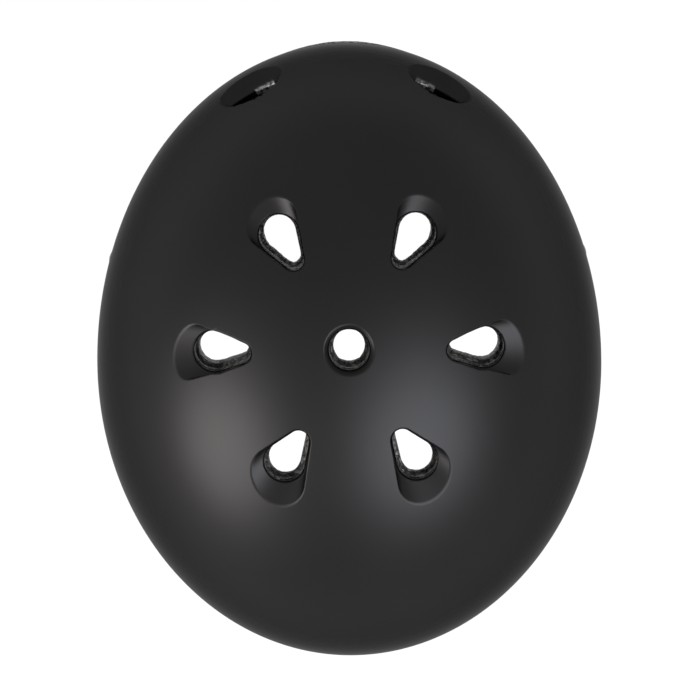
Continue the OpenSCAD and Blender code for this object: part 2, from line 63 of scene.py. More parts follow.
nodes = frame["nodes"]
MM = 0.001
scene = bpy.context.scene


def new_object(name, data):
    obj = bpy.data.objects.new(name, data)
    scene.collection.objects.link(obj)
    return obj


# Camera: above the crown, leaning a little towards the rear, as in the photograph
TILT = math.radians(5.6)
CROWN = Vector((0, -0.015, 0.1034))
REACH = 1.6
ROLL = math.radians(-0.87)
look = Vector((0, math.sin(TILT), -math.cos(TILT)))
up = Vector((0, -math.cos(TILT), -math.sin(TILT)))
right = look.cross(up)
cam_data = bpy.data.cameras.new("camera")
cam_data.sensor_width, cam_data.lens = 36, 198.7
cam_data.shift_x, cam_data.shift_y = 0.0012, 0.0006
cam_data.clip_start, cam_data.clip_end = 0.05, 20
camera = new_object("camera", cam_data)
turn = Matrix((right, up, -look)).transposed().to_4x4()
camera.matrix_world = Matrix.Translation(CROWN - look * REACH) @ turn @ Matrix.Rotation(ROLL, 4, "Z")
scene.camera = camera

# The helmet's forms as signed distances in millimetres, from the same sizes as the CAD source.
# Points are 3 by n arrays, front is -y, and the wearer's left is +x.
HALF_W, FRONT, REAR, DOME, WALL, SEAT = 111.0, 140.0, 130.0, 104.0, 3.0, 0.3
TUCK = 330.0  # radius of the wall's inward curve below the widest line
VENT_Y = -15.0
CAVITY = (87.5, 115.0, 106.0, 81.0)
SHELL = (HALF_W, FRONT, REAR, DOME)
FAR = 1e3


def smin(a, b, k):
    """The smaller of two distances, with the corner between them rounded over k."""
    h = np.clip(k - np.abs(a - b), 0, None) / k
    return np.minimum(a, b) - h * h * k / 4


def smax(a, b, k):
    return -smin(-a, -b, k)


def egg(p, form, d=0.0):
    """Distance to a half egg over a tucked wall, drawn in by d; form is (half width, front, rear, height)."""
    w, f, r, h = (v - d for v in form)
    x, y, z = p
    b = np.where(y < 0, f, r)
    k0 = np.sqrt((x / w) ** 2 + (y / b) ** 2 + (z / h) ** 2)
    k1 = np.sqrt((x / w ** 2) ** 2 + (y / b ** 2) ** 2 + (z / h ** 2) ** 2) + 1e-9
    dome = k0 * (k0 - 1) / k1
    rho = np.sqrt(x ** 2 + (y * w / b) ** 2) + 1e-9
    wall = w - TUCK + np.sqrt(np.clip(TUCK ** 2 - (z * w / h) ** 2, 1, None))
    lean = np.sqrt(x ** 2 + (y * (w / b) ** 2) ** 2) / rho
    return np.where(z > 0, dome, (rho - wall) / lean)


def polar(r, degrees):
    a = math.radians(degrees)
    return r * math.cos(a), r * math.sin(a)


def reach_y(y):
    return FRONT if y < 0 else REAR


def dome_z(x, y):
    return DOME * math.sqrt(1 - (x / HALF_W) ** 2 - (y / reach_y(y)) ** 2)


def dome_tilt(x, y):
    steep = math.hypot(x / HALF_W ** 2, y / reach_y(y) ** 2)
    return math.atan2(steep, dome_z(x, y) / DOME ** 2)


def wall_turn(x, y):
    return math.atan2(y / reach_y(y) ** 2, x / HALF_W ** 2)


def frame_at(x, y, z, turn_z, turn_y):
    """Origin and axes of a local frame turned about z and then about its own y."""
    rz = Matrix.Rotation(turn_z, 3, "Z") @ Matrix.Rotation(turn_y, 3, "Y")
    return np.array((x, y, z)), np.array(rz)


def local(p, f):
    o, m = f
    d = [p[i] - o[i] for i in range(3)]
    return [sum(m[i][j] * d[i] for i in range(3)) for j in range(3)]


# Teardrop vents of the left half: angle about the crown vent, distance from it, turn of the
# vent's axis, radius and outward shift of its scoop
RING_VENTS = (
    (1.4, 56.6, 0.0, 12.2, 15.0),
    (-58.7, 55.0, -58.5, 11.9, 8.8),
    (59.7, 55.0, 57.4, 13.0, 8.7),
)
VENT_R, TIP_R, TIP_GAP = 8.5, 4.3, 11.4
SCOOP_GAP, LIP_LOW, LIP_FLARE = 0.5, 0.1, 1.0  # scoop past the round end, past the tip, and more on top
FLOOR_RISE = 0.6  # share of its depth that a scoop's floor rises towards the vent's tip
# Oval vents at the brow and the nape, and their scoops: radii of floor and top, and outward shift
LOW_R, LOW_FLAT, LOW_X = 12.0, 0.55, 1.0
LOW_FLOOR, LOW_SCOOP, LOW_SHIFT = 9.4, 16.5, 10.0
BROW_X, BROW_Y = 40.0, -121.0
NAPE_X, NAPE_Z = 38.0, -12.0
CROWN_R, CROWN_SINK, CROWN_DEPTH = 8.4, 2.5, 4.0
DEPTH = 5.0  # of the scoops
SCOOP_REACH, CROWN_REACH = 46, 30
ring = []
for angle, radius, spin, scoop_r, shift in RING_VENTS:
    x, y = polar(radius, angle)
    y += VENT_Y
    z, spin = dome_z(x, y), math.radians(spin)
    ring.append((frame_at(x, y, z, spin, 0), frame_at(x, y, z, spin, dome_tilt(x, y)), scoop_r, shift))
nape_y = REAR * math.sqrt(1 - (NAPE_X / HALF_W) ** 2)
brow_turns = wall_turn(BROW_X, BROW_Y), dome_tilt(BROW_X, BROW_Y)
low = [frame_at(BROW_X, BROW_Y, dome_z(BROW_X, BROW_Y), *brow_turns),
       frame_at(NAPE_X, nape_y, NAPE_Z, wall_turn(NAPE_X, nape_y), math.pi / 2)]
crown_frame = frame_at(0, VENT_Y, dome_z(0, VENT_Y), math.atan2(-1, 0), dome_tilt(0, VENT_Y))


def left_half(p):
    """The points mirrored to the left half, since both sides are the same."""
    q = p.copy()
    q[0] = np.abs(q[0])
    return q


def near(p, f, reach, fn):
    """fn of the points within reach of a frame's origin, and FAR elsewhere."""
    out = np.full(p.shape[1], FAR)
    d = p - f[0][:, None]
    m = (d ** 2).sum(0) < reach ** 2
    if m.any():
        out[m] = fn(local(p[:, m], f))
    return out


def low_scoop(q):
    """Slanted cone that widens and leans outward on its way from its floor to the outer wall."""
    slope, lean = (LOW_SCOOP - LOW_FLOOR) / DEPTH, LOW_SHIFT / DEPTH
    cx = q[0] - lean * (q[2] + DEPTH)
    rho = np.sqrt(cx ** 2 + q[1] ** 2) + 1e-9
    side = rho - (LOW_FLOOR + slope * (q[2] + DEPTH))
    side = side / np.sqrt(1 + (lean * cx / rho + slope) ** 2)
    return smax(side, -(q[2] + DEPTH), 1.0)


def tear(q, r, t, gap):
    """Distance in q's plane to a teardrop: a circle r at the origin and one t at gap towards -x."""
    b = (r - t) / gap
    a = np.sqrt(1 - b * b)
    s, v = -q[0], np.abs(q[1])
    k = -b * v + a * s
    body = a * v + b * s - r
    return np.where(k < 0, np.hypot(v, s) - r, np.where(k > a * gap, np.hypot(v, s - gap) - t, body))


def tear_scoop(q, top_r, shift):
    """A scoop whose straight flanks run from its round end to a narrow lip about the vent's tip."""
    def flank(z):
        rise = np.clip(z / DEPTH + 1, 0, 1.6)
        big = VENT_R + SCOOP_GAP + (top_r - VENT_R - SCOOP_GAP) * rise
        small = TIP_R + LIP_LOW + LIP_FLARE * rise
        return tear((q[0] - shift * rise, q[1]), big, small, TIP_GAP + shift * rise)
    z = np.maximum(q[2], 0.05 - DEPTH)
    steep = (flank(z + 0.05) - flank(z - 0.05)) / 0.1
    side = flank(q[2]) / np.sqrt(1 + steep ** 2)
    floor = -q[2] - DEPTH * (1 - FLOOR_RISE * np.clip(-q[0] / TIP_GAP, 0, 1))
    return smax(side, floor, 1.0)


def scoops(p):
    out = np.full(p.shape[1], FAR)
    for _, f, top_r, shift in ring:
        out = np.minimum(out, near(p, f, SCOOP_REACH, lambda q: tear_scoop(q, top_r, shift)))
    for f in low:
        out = np.minimum(out, near(p, f, SCOOP_REACH, low_scoop))
    sink = near(p, crown_frame, CROWN_REACH,
                lambda q: (np.hypot(q[0], q[1]) - (CROWN_R + CROWN_SINK + q[2])) / math.sqrt(2))
    floor = near(p, crown_frame, CROWN_REACH, lambda q: -(q[2] + CROWN_DEPTH))
    return np.minimum(out, smax(sink, floor, 1.0))


def oval(q):
    x = q[0] - LOW_X
    rho = np.sqrt((x / LOW_FLAT) ** 2 + q[1] ** 2) + 1e-9
    return (rho - LOW_R) * rho / (np.sqrt((x / LOW_FLAT ** 2) ** 2 + q[1] ** 2) + 1e-9)


TIP_NARROWING, LOW_NARROWING = 0.75, 1.3  # of a tip and of an oval vent, beside a round end's 1
VENT_NEAR, LOW_NEAR, LOW_IN = 40, 60, 50  # how far out a vent is worked out, and an oval one's depth


def airways(p, d=0.0):
    """Distance to the vents, narrower by d, which may differ from point to point."""
    d = np.broadcast_to(d, p.shape[1:])
    out = np.where(p[2] > 0, np.hypot(p[0], p[1] - VENT_Y) - (CROWN_R - d), FAR)
    for f, *_ in ring:
        m = (np.hypot(p[0] - f[0][0], p[1] - f[0][1]) < VENT_NEAR) & (p[2] > 0)
        if m.any():
            q = local(p[:, m], f)
            share = 1 - (1 - TIP_NARROWING) * np.clip(-q[0] / TIP_GAP, 0, 1)
            out[m] = np.minimum(out[m], tear(q, VENT_R, TIP_R, TIP_GAP) + d[m] * share)
    for f in low:
        m = ((p - f[0][:, None]) ** 2).sum(0) < LOW_NEAR ** 2
        if m.any():
            q = local(p[:, m], f)
            out[m] = np.minimum(out[m], np.maximum(oval(q) + d[m] * LOW_NARROWING, -(q[2] + LOW_IN)))
    return out


LINER_T = 20.0
VENT_START, VENT_TAPER, STEP_IN, GROOVE_DEEP = -0.8, 1.7, 0.9, 1.0  # all in mm across the vent
STEP_AT, STEP_LONG, GROOVE_AT, GROOVE_WIDE = 0.5, 0.06, 0.47, 0.045  # shares of the liner's thickness
VENT_LEAN = 0.045


def draft(p):
    """How much the liner's vents narrow with depth: a taper, and a groove before a step half way."""
    t = np.clip((-egg(p, SHELL) - WALL) / LINER_T, 0, 1)
    slope, step = np.clip(t / 0.7, 0, 1), np.clip((t - STEP_AT) / STEP_LONG, 0, 1)
    groove = np.exp(-((t - GROOVE_AT) / GROOVE_WIDE) ** 2)
    return VENT_START + VENT_TAPER * slope + STEP_IN * step - GROOVE_DEEP * groove


def leaning(p):
    """The points moved so that the liner's vents lean towards the front on their way in."""
    q = p.copy()
    q[1] += VENT_LEAN * np.clip(-egg(p, SHELL), 0, 30)
    return q


def smooth(v, n):
    """Catmull-Rom curve through the values v, n points to a span."""
    out = []
    last = len(v) - 1
    for i in range(last * n + 1):
        k = min(i // n, last - 1)
        t = i / n - k
        a, b, c, d = v[max(k - 1, 0)], v[k], v[k + 1], v[min(k + 2, last)]
        bend, twist = (2 * a - 5 * b + 4 * c - d) * t * t, (3 * b - a - 3 * c + d) * t ** 3
        out.append(0.5 * (2 * b + (c - a) * t + bend + twist))
    return out


RIM_Y = smooth([-170, -141, -118, -92, -68, -44, -16, 14, 44, 74, 104, 150], 24)
RIM_Z = smooth([-9, -9, -12, -21, -33, -39, -37, -34, -40, -51, -57, -59], 24)


def rim(p, d=0.0):
    """Distance to the surface that ends the shell below, raised by d."""
    z = np.interp(p[1], RIM_Y, RIM_Z)
    g = (np.interp(p[1] + 0.5, RIM_Y, RIM_Z) - np.interp(p[1] - 0.5, RIM_Y, RIM_Z))
    return (z + d - p[2]) / np.sqrt(1 + g * g)


def cone(p, z0, r0, drop, h, ly, side):
    """Half of an elliptical cone with half axes r0 and ly at z0, which shrinks to drop over h."""
    k = ly / r0
    rr = r0 * (1 - (1 - drop) * (p[2] - z0) / h)
    rho = np.sqrt(p[0] ** 2 + (p[1] / k) ** 2) + 1e-9
    g = np.sqrt(p[0] ** 2 + (p[1] / k ** 2) ** 2) / rho
    d = (rho - rr) / g
    return np.maximum(np.maximum(d, p[2] - z0 - h), -side * p[1])


LIP_Z, LIP_R, LIP_OUT, LIP_H = -9.6, 96.0, 1.5, 14.0
FLARE_Z, FLARE_R, FLARE_OUT, FLARE_H = -66.0, 100.0, 2.5, 40.0


def brow_lip(p, d=0.0):
    return cone(p, LIP_Z, LIP_R - d, 0.95, LIP_H, FRONT + LIP_OUT - d, -1)


def outer(p, d=0.0):
    """Distance to the shell's outer form without its openings, drawn in by d."""
    flare = cone(p, FLARE_Z, FLARE_R - d, 0.93, FLARE_H, REAR + FLARE_OUT - d, 1)
    return smin(smin(egg(p, SHELL, d), brow_lip(p, d), 1.2), flare, 7.0)


def brow_crease(p):
    """How far the points are from the crease above the brow lip's middle part."""
    far = np.clip(np.abs(p[0]) - 40.0, 0, None) + np.clip(p[1] + 120.0, 0, None)
    return np.abs(brow_lip(p) - egg(p, SHELL)) + far


def lip_highlight_and_patch(p):
    """Painted highlight along the brow lip, and a pale patch at the inner end of the brow vents' lower edge.
    """
    ends = np.clip((44.0 - np.abs(p[0])) / 4.0, 0, 1) * (p[1] < -120)
    out = egg(p, SHELL)
    # Painted highlight: a narrow pale band along the brow lip's crease.
    lip_highlight = np.clip((out - 0.2) / 0.15, 0, 1) * np.clip((0.95 - out) / 0.15, 0, 1) * ends

    # A pale patch at the inner end of the brow vents' lower edge.
    def pale_patch(q):
        return -np.exp(-(oval(q) / 1.2) ** 2) * ((q[0] > 0) & (q[1] < -1.0) & (q[1] > -10.0))
    return np.maximum(lip_highlight, -np.minimum(near(p, low[0], 30, pale_patch), 0))


SKIN = 2.7  # left under the scoops
ANCHORS = ((-46.0, -20.0), (38.0, -22.0))
SEAT_R, SEAT_DEEP, BORE_R, SEAT_NEAR = 6.0, 0.6, 2.1, 16


def wall_x(y, z, d):
    r = HALF_W - TUCK + math.sqrt(TUCK ** 2 - z * z) - d
    return r * math.sqrt(1 - (y / (r / HALF_W * reach_y(y))) ** 2)


def wall_lean(z):
    return math.asin(max(-z, 0) / TUCK)


anchor_frames = []
for y, z in ANCHORS:
    x = wall_x(y, z, 0)
    anchor_frames.append(frame_at(x, y, z, wall_turn(x, y), wall_lean(z)))


def shell_d(p):
    p = left_half(p)
    well = scoops(p)
    skin = np.maximum(outer(p) + 0.05, well - SKIN)
    s = smax(outer(p), smin(-outer(p, WALL), skin, 2.0), 0.3)
    s = smax(s, -well, 0.45)
    s = smax(s, -airways(p), 0.9)
    s = smax(s, rim(p), 1.2)
    for f in anchor_frames:
        seat = near(p, f, SEAT_NEAR, lambda q: smax(np.hypot(q[1], q[2]) - SEAT_R, -(q[0] + SEAT_DEEP), 0.3))
        bore = near(p, f, SEAT_NEAR, lambda q: np.hypot(q[1], q[2]) - BORE_R)
        s = smax(smax(s, -seat, 0.4), -bore, 0.2)
    return s


def box_d(q, lo, hi):
    return np.maximum.reduce([np.maximum(lo[i] - q[i], q[i] - hi[i]) for i in range(3)])


CHANNELS, CHANNEL_W, CHANNEL_DEEP = (-27.8, 0, 27.8), 12, 5.0
LINER_UP = 4.0  # the liner ends this far above the shell's rim
POCKET = (-7.0, -20, -60), (10, 20, 14)  # corners of the strap end's pocket about its anchor
DISH_R, DISH_DEEP = 7.0, 11.0


def liner_d(p):
    p = left_half(p)
    s = smax(egg(p, SHELL, WALL + SEAT), -egg(p, CAVITY), 0.5)
    half = CHANNEL_W / 2
    cut = np.minimum.reduce([box_d(p, (x - half, -80, 0), (x + half, 70, 400)) for x in CHANNELS])
    s = smax(s, -smax(cut, egg(p, CAVITY, -CHANNEL_DEEP), 2.5), 2.0)
    s = smax(s, WALL + SEAT - scoops(p), 1.0)
    s = smax(s, -airways(leaning(p), draft(p)), 1.2)
    s = smax(s, rim(p, LINER_UP), 2.5)
    for f in anchor_frames:
        pocket = near(p, f, 60, lambda q: box_d(q, *POCKET))
        dish = near(p, f, 20, lambda q: np.maximum(np.hypot(q[1], q[2]) - DISH_R, -(q[0] + DISH_DEEP)))
        s = smax(s, -np.minimum(pocket, dish), 0.6)
    return s


def gradient(fn, p, h=0.08):
    g = np.empty_like(p)
    for i in range(3):
        e = np.zeros((3, 1))
        e[i] = h
        g[i] = (fn(p + e) - fn(p - e)) / (2 * h)
    return g


def piece(name, mesh, body="helmet"):
    """A new object that rides on this body."""
    obj = new_object(name, mesh)
    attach(obj, body)
    return obj


SLAB = 12  # layers of voxels worked out at a time


def implicit_mesh(fn, name, voxel, box, keep=lambda p: p[0] < FAR):
    """Even quads on the zero level of fn in a box of (low, high) pairs; keep bounds the work."""
    axes = [np.arange(lo, hi, voxel) for lo, hi in box]
    band = 3.0 * voxel
    values = np.full([len(a) for a in axes], band, np.float32)
    for i in range(0, len(axes[0]), SLAB):
        p = np.stack(np.meshgrid(axes[0][i:i + SLAB], axes[1], axes[2], indexing="ij")).reshape(3, -1)
        m = keep(p)
        part = np.full(p.shape[1], band)
        part[m] = np.clip(fn(p[:, m]), -band, band)
        values[i:i + SLAB] = part.reshape(-1, len(axes[1]), len(axes[2]))
    grid = openvdb.FloatGrid(band)
    grid.copyFromArray(values)
    points, quads = grid.convertToQuads(isovalue=0.0)
    corner = np.array([a[0] for a in axes])
    mesh = bpy.data.meshes.new(name)
    mesh.from_pydata(((points * voxel + corner) * MM).tolist(), [], quads.tolist())
    mesh.update()
    return mesh


def coords(mesh):
    v = np.empty(len(mesh.vertices) * 3)
    mesh.vertices.foreach_get("co", v)
    return v.reshape(-1, 3).T / MM


def put_coords(mesh, p):
    mesh.vertices.foreach_set("co", (p.T * MM).astype(np.float32).ravel())
    mesh.update()


def averager(mesh):
    """A function that gives the mean of each vertex's neighbours from all the points."""
    e = np.empty(len(mesh.edges) * 2, np.int64)
    mesh.edges.foreach_get("vertices", e)
    a, b = e.reshape(-1, 2).T
    n = len(mesh.vertices)
    count = np.maximum(np.bincount(e, minlength=n), 1)

    def mean(p):
        return np.array([np.bincount(a, p[c][b], n) + np.bincount(b, p[c][a], n) for c in range(3)]) / count
    return mean


def fit_to(mesh, fn, rounds):
    """Moves every vertex onto the zero level of fn, keeping the vertices evenly spread."""
    p, mean = coords(mesh), averager(mesh)
    for i in range(rounds):
        f = fn(p)
        if i % 2 == 0 or i == rounds - 1:
            g = gradient(fn, p)
            g /= np.maximum((g ** 2).sum(0), 0.25) ** 0.5
        p = p - np.clip(f, -0.8, 0.8) * g
        if i < rounds - 2:
            step = mean(p) - p
            step -= (step * g).sum(0) * g
            p = p + 0.5 * step
    put_coords(mesh, p)
    return p


def refine(mesh, mask):
    """Cuts the edges between masked vertices in two."""
    bm = bmesh.new()
    bm.from_mesh(mesh)
    bm.verts.ensure_lookup_table()
    edges = [ed for ed in bm.edges if mask[ed.verts[0].index] and mask[ed.verts[1].index]]
    bmesh.ops.subdivide_edges(bm, edges=edges, cuts=1, use_grid_fill=True)
    bm.to_mesh(mesh)
    bm.free()


def set_normals(mesh, fn, p):
    g = gradient(fn, p, 0.12)
    g /= np.maximum(np.sqrt((g ** 2).sum(0)), 1e-6)
    mesh.shade_smooth()
    mesh.normals_split_custom_set_from_vertices(g.T.tolist())


def moulded(node, name, fn, voxel, keep, zones):
    """A rigid moulding drawn from its distance function, with finer faces in each zone."""
    box = ((-118, 118), (-147, 137), (-67, 109))
    mesh = implicit_mesh(fn, name, voxel, box, keep)
    fit_to(mesh, fn, 3)
    for zone in zones:
        refine(mesh, zone(coords(mesh)))
        fit_to(mesh, fn, 2)
    p = fit_to(mesh, fn, 4)
    set_normals(mesh, fn, p)
    obj = piece(name, mesh)
    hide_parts(node)
    return obj


def any_near(p, reach, *fns):
    return np.minimum.reduce([np.abs(fn(p)) for fn in fns]) < reach


def edge_zone(p):
    p = left_half(p)
    return any_near(p, 2.2, rim, airways, scoops, brow_crease)


def lip_zone(p):
    p = left_half(p)
    edges = any_near(p, 1.1, outer, airways)
    return (np.abs(scoops(p)) < 1.1) & edges | (brow_crease(p) < 0.9)


def add_layers(mesh, layers):
    for key, values in layers.items():
        layer = mesh.attributes.new(key, "FLOAT", "POINT")
        layer.data.foreach_set("value", np.asarray(values, np.float32))


shell = moulded("shell", "moulded_shell", shell_d, 1.4, lambda p: np.abs(outer(p) + 5.0) < 8.5,
                [edge_zone, lip_zone])
halves = left_half(coords(shell.data))
# Painted highlight: a pale band along the brow lip, with a pale patch at the brow vents' lower edge.
painted_highlight_and_mottle = lip_highlight_and_patch(halves)
in_brow_scoop = near(halves, low[0], SCOOP_REACH, low_scoop) < 0.4
# Painted shade: darker at the vents' cut edges and, by about half, inside the brow vents' scoops.
painted_edge_shade = np.exp(-(airways(halves) / 0.7) ** 2)
painted_edge_shade = np.maximum(painted_edge_shade, np.where(in_brow_scoop, 0.45, 0.0)) * (1 - painted_highlight_and_mottle)
add_layers(shell.data, {"painted_edge_shade": painted_edge_shade, "lip_highlight_and_patch": painted_highlight_and_mottle})
liner = moulded("foam_liner", "beaded_liner", liner_d, 2.0, lambda p: np.abs(outer(p) + 15.0) < 18.0, [])


# Soft pads on the cavity's wall, where depth is the distance inward from the liner's face
def cavity_depth(p):
    return -egg(p, CAVITY)


def rounded(a, b, half_a, half_b, r):
    """Distance to a rounded rectangle."""
    u, v = np.abs(a) - half_a + r, np.abs(b) - half_b + r
    return np.hypot(np.maximum(u, 0), np.maximum(v, 0)) + np.minimum(np.maximum(u, v), 0) - r


def rounded_loop(half_a, half_b, r, step=1.5):
    """Points along a rounded rectangle, evenly spaced."""
    pts = []
    for ca, cb, start in ((1, 1, 0), (-1, 1, 90), (-1, -1, 180), (1, -1, 270)):
        for k in range(9):
            a, b = polar(r, start + 11.25 * k)
            pts.append((ca * (half_a - r) + a, cb * (half_b - r) + b))
    return even(np.array(pts), step, True)


def full_turn(n):
    return np.linspace(0, 2 * math.pi, n, endpoint=False)


def ring_loop(r, step=1.5):
    t = full_turn(int(2 * math.pi * r / step))
    return np.stack([r * np.cos(t), r * np.sin(t)], 1)


def run_length(pts):
    return np.concatenate([[0], np.cumsum(np.linalg.norm(np.diff(pts, axis=0), axis=1))])


def even(pts, step, closed):
    """The polyline pts again with points every step or so."""
    q = np.vstack([pts, pts[:1]]) if closed else pts
    s = run_length(q)
    n = max(int(round(s[-1] / step)), 2)
    t = np.linspace(0, s[-1], n + 1)
    out = np.stack([np.interp(t, s, q[:, i]) for i in range(q.shape[1])], 1)
    return out[:-1] if closed else out


def drop(base, ray, depth):
    """Points base + t * ray at this depth inside the cavity, for rays that leave it."""
    lo, hi = np.zeros(base.shape[1]), np.full(base.shape[1], 150.0)
    for _ in range(34):
        mid = (lo + hi) / 2
        deep = cavity_depth(base + ray * mid) > depth
        lo, hi = np.where(deep, mid, lo), np.where(deep, hi, mid)
    return base + ray * lo


PAD_BACK, PAD_FRONT = 1.9, 8.2  # depths of the pads' faces
EDGE_THIN, EDGE_LIFT, CHANNEL_THIN = 3.6, 1.2, 2.8


class Pad:
    """A pad on the cavity's wall; flat coordinates a, b run along the two axes across ray."""

    def __init__(self, node, ray, centre, outline, loops, seams, box):
        self.node, self.ray, self.centre = node, np.array(ray, float)[:, None], centre
        self.axes = [i for i in range(3) if not ray[i]]
        self.outline, self.loops, self.seams, self.box = outline, loops, seams, box

    def flat(self, p):
        return [p[i] - c for i, c in zip(self.axes, self.centre)]

    def place(self, ab, depth):
        base = np.zeros((3, len(ab)))
        base[self.axes] = (ab + self.centre).T
        return drop(base, self.ray, depth)

    def edge(self, p):
        return self.outline(*self.flat(p))

    def seam(self, p):
        a, b = self.flat(p)
        out = np.full(p.shape[1], FAR)
        for (a0, b0), (a1, b1) in self.seams:
            da, db = a1 - a0, b1 - b0
            t = np.clip(((a - a0) * da + (b - b0) * db) / (da * da + db * db), 0, 1)
            out = np.minimum(out, np.hypot(a - a0 - t * da, b - b0 - t * db))
        return out

    def body(self, p):
        edge = self.edge(p)
        t = np.exp(-np.clip(-edge, 0, None) / 3.5)
        depth = cavity_depth(p)
        front = PAD_FRONT - EDGE_THIN * t - CHANNEL_THIN * np.exp(-(self.seam(p) / 2.0) ** 2)
        side = np.where((p * self.ray).sum(0) > 0, -FAR, FAR)
        return np.maximum(smax(smax(PAD_BACK + EDGE_LIFT * t - depth, depth - front, 1.2), edge, 1.0), side)


CROWN_OUT, CROWN_IN = 33.4, 12.6


def across(a, half):
    return (a, -half), (a, half)


def oblong(node, ray, centre, half_a, half_b, r, seams, box):
    return Pad(node, ray, centre, lambda a, b: rounded(a, b, half_a, half_b, r),
               [rounded_loop(half_a, half_b, r)], seams, box)


def side_of(node, s):
    return oblong(node, (s, 0, 0), (-10.0, -1.0), 41.6, 22.6, 15, [across(-14, 24), across(14, 24)],
                  ((60, 92) if s > 0 else (-92, -60), (-56, 36), (-28, 26)))


pads = [
    Pad("crown_pad", (0, 0, 1), (0.0, VENT_Y),
        lambda a, b: np.maximum(np.hypot(a, b) - CROWN_OUT, CROWN_IN - np.hypot(a, b)),
        [ring_loop(CROWN_OUT), ring_loop(CROWN_IN)],
        [(polar(CROWN_IN, a), polar(CROWN_OUT, a)) for a in (90, 210, 330)],
        ((-38, 38), (-53, 23), (52, 82))),
    oblong("brow_pad", (0, -1, 0), (0.0, 9.5), 59.4, 12.0, 9, [across(a, 13) for a in (-30, 0, 30)],
           ((-64, 64), (-118, -66), (-8, 26))),
    oblong("nape_pad", (0, 1, 0), (0.0, -27.0), 45.4, 16.6, 12, [across(a, 18) for a in (-15.5, 15.5)],
           ((-50, 50), (66, 110), (-48, -6))),
    side_of("side_pad_left", 1), side_of("side_pad_right", -1)]


PRESSURE, CLOTH_FRAMES, PUFF = 4.0, 20, 2.2


def puff(meshes, pins):
    """Cloth simulation: air fills the meshes, pinned points stay, and none moves further than PUFF."""
    sims = []
    for mesh, pin in zip(meshes, pins):
        obj = new_object("sim", mesh)
        group = obj.vertex_groups.new(name="pin")
        group.add(np.nonzero(pin)[0].tolist(), 1.0, "REPLACE")
        cloth = obj.modifiers.new("cloth", "CLOTH").settings
        cloth.quality = 6
        cloth.use_pressure = True
        cloth.uniform_pressure_force = PRESSURE
        cloth.vertex_group_mass = "pin"
        cloth.effector_weights.gravity = 0.0
        sims.append(obj)
    for frame_no in range(1, CLOTH_FRAMES + 1):
        scene.frame_set(frame_no)
    dg = bpy.context.evaluated_depsgraph_get()
    for obj, mesh in zip(sims, meshes):
        old = coords(mesh)
        move = coords(obj.evaluated_get(dg).to_mesh()) - old
        length = np.sqrt((move ** 2).sum(0)) + 1e-9
        put_coords(mesh, old + move * np.minimum(1, PUFF / length))
        bpy.data.objects.remove(obj)
    scene.frame_set(1)


def relax(mesh, hold, rounds):
    """Moves the vertices that aren't held half way to their neighbours' mean."""
    p, mean = coords(mesh), averager(mesh)
    for _ in range(rounds):
        p = np.where(hold, p, p + 0.5 * (mean(p) - p))
    put_coords(mesh, p)


def modified(mesh, kind, **settings):
    """A new mesh: this one with one modifier applied."""
    obj = new_object("modified", mesh)
    mod = obj.modifiers.new(kind, kind)
    for key, value in settings.items():
        setattr(mod, key, value)
    out = bpy.data.meshes.new_from_object(obj.evaluated_get(bpy.context.evaluated_depsgraph_get()))
    out.name = mesh.name
    bpy.data.objects.remove(obj)
    return out


pad_meshes, pad_pins = [], []
for pad in pads:
    mesh = implicit_mesh(pad.body, pad.node + "_cushion", 2.2, pad.box)
    p = fit_to(mesh, pad.body, 6)
    pad_meshes.append(mesh)
    pad_pins.append((cavity_depth(p) < 2.6) | (pad.edge(p) > -0.9) | (pad.seam(p) < 1.4))
puff(pad_meshes, pad_pins)
cushions = []
for pad, mesh, pin in zip(pads, pad_meshes, pad_pins):
    relax(mesh, pin, 2)
    mesh = modified(mesh, "SUBSURF", levels=1)
    mesh.shade_smooth()
    obj = piece(pad.node + "_cushion", mesh)
    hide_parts(pad.node)
    cushions.append(obj)


# Sweeps: bindings, threads and webbing
def unit(v):
    return v / np.maximum(np.linalg.norm(v, axis=-1, keepdims=True), 1e-9)


def sweep(p, n, section, closed=False, taper=1.0):
    """Vertices and faces of a section (side, face) drawn along points p with face normals n."""
    t = unit(np.roll(p, -1, 0) - np.roll(p, 1, 0)) if closed else unit(np.gradient(p, axis=0))
    w = unit(np.cross(n, t))
    h = unit(np.cross(t, w))
    k, m = len(section), len(p)
    scale = np.ones(m)
    scale[0] = scale[-1] = taper
    high = section[None, :, 1] * scale[:, None]
    verts = p[:, None] + section[None, :, 0, None] * w[:, None] + high[..., None] * h[:, None]
    faces = []
    for i in range(m if closed else m - 1):
        j = (i + 1) % m
        for c in range(k):
            d = (c + 1) % k
            faces.append((i * k + c, i * k + d, j * k + d, j * k + c))
    if not closed:
        faces += [tuple(range(k - 1, -1, -1)), tuple((m - 1) * k + c for c in range(k))]
    return verts.reshape(-1, 3), faces


def joined(parts):
    """One list of vertices and one of faces from many pairs of them."""
    verts, faces, base = [], [], 0
    for v, f in parts:
        verts.append(v)
        faces += [tuple(i + base for i in face) for face in f]
        base += len(v)
    return np.vstack(verts), faces


def mesh_of(name, verts, faces, layers=None):
    mesh = bpy.data.meshes.new(name)
    mesh.from_pydata((verts * MM).tolist(), [], faces)
    add_layers(mesh, layers or {})
    bm = bmesh.new()
    bm.from_mesh(mesh)
    bmesh.ops.recalc_face_normals(bm, faces=bm.faces)
    bm.to_mesh(mesh)
    bm.free()
    mesh.shade_smooth()
    return mesh


def ellipse(a, b, n=10):
    t = full_turn(n)
    return np.stack([a * np.cos(t), b * np.sin(t)], 1)


def wall_normals(p):
    return -unit(gradient(cavity_depth, p).T)


STITCH_PITCH, STITCH_LONG, STITCH_R, STITCH_STEPS = 3.2, 2.1, 0.22, 6


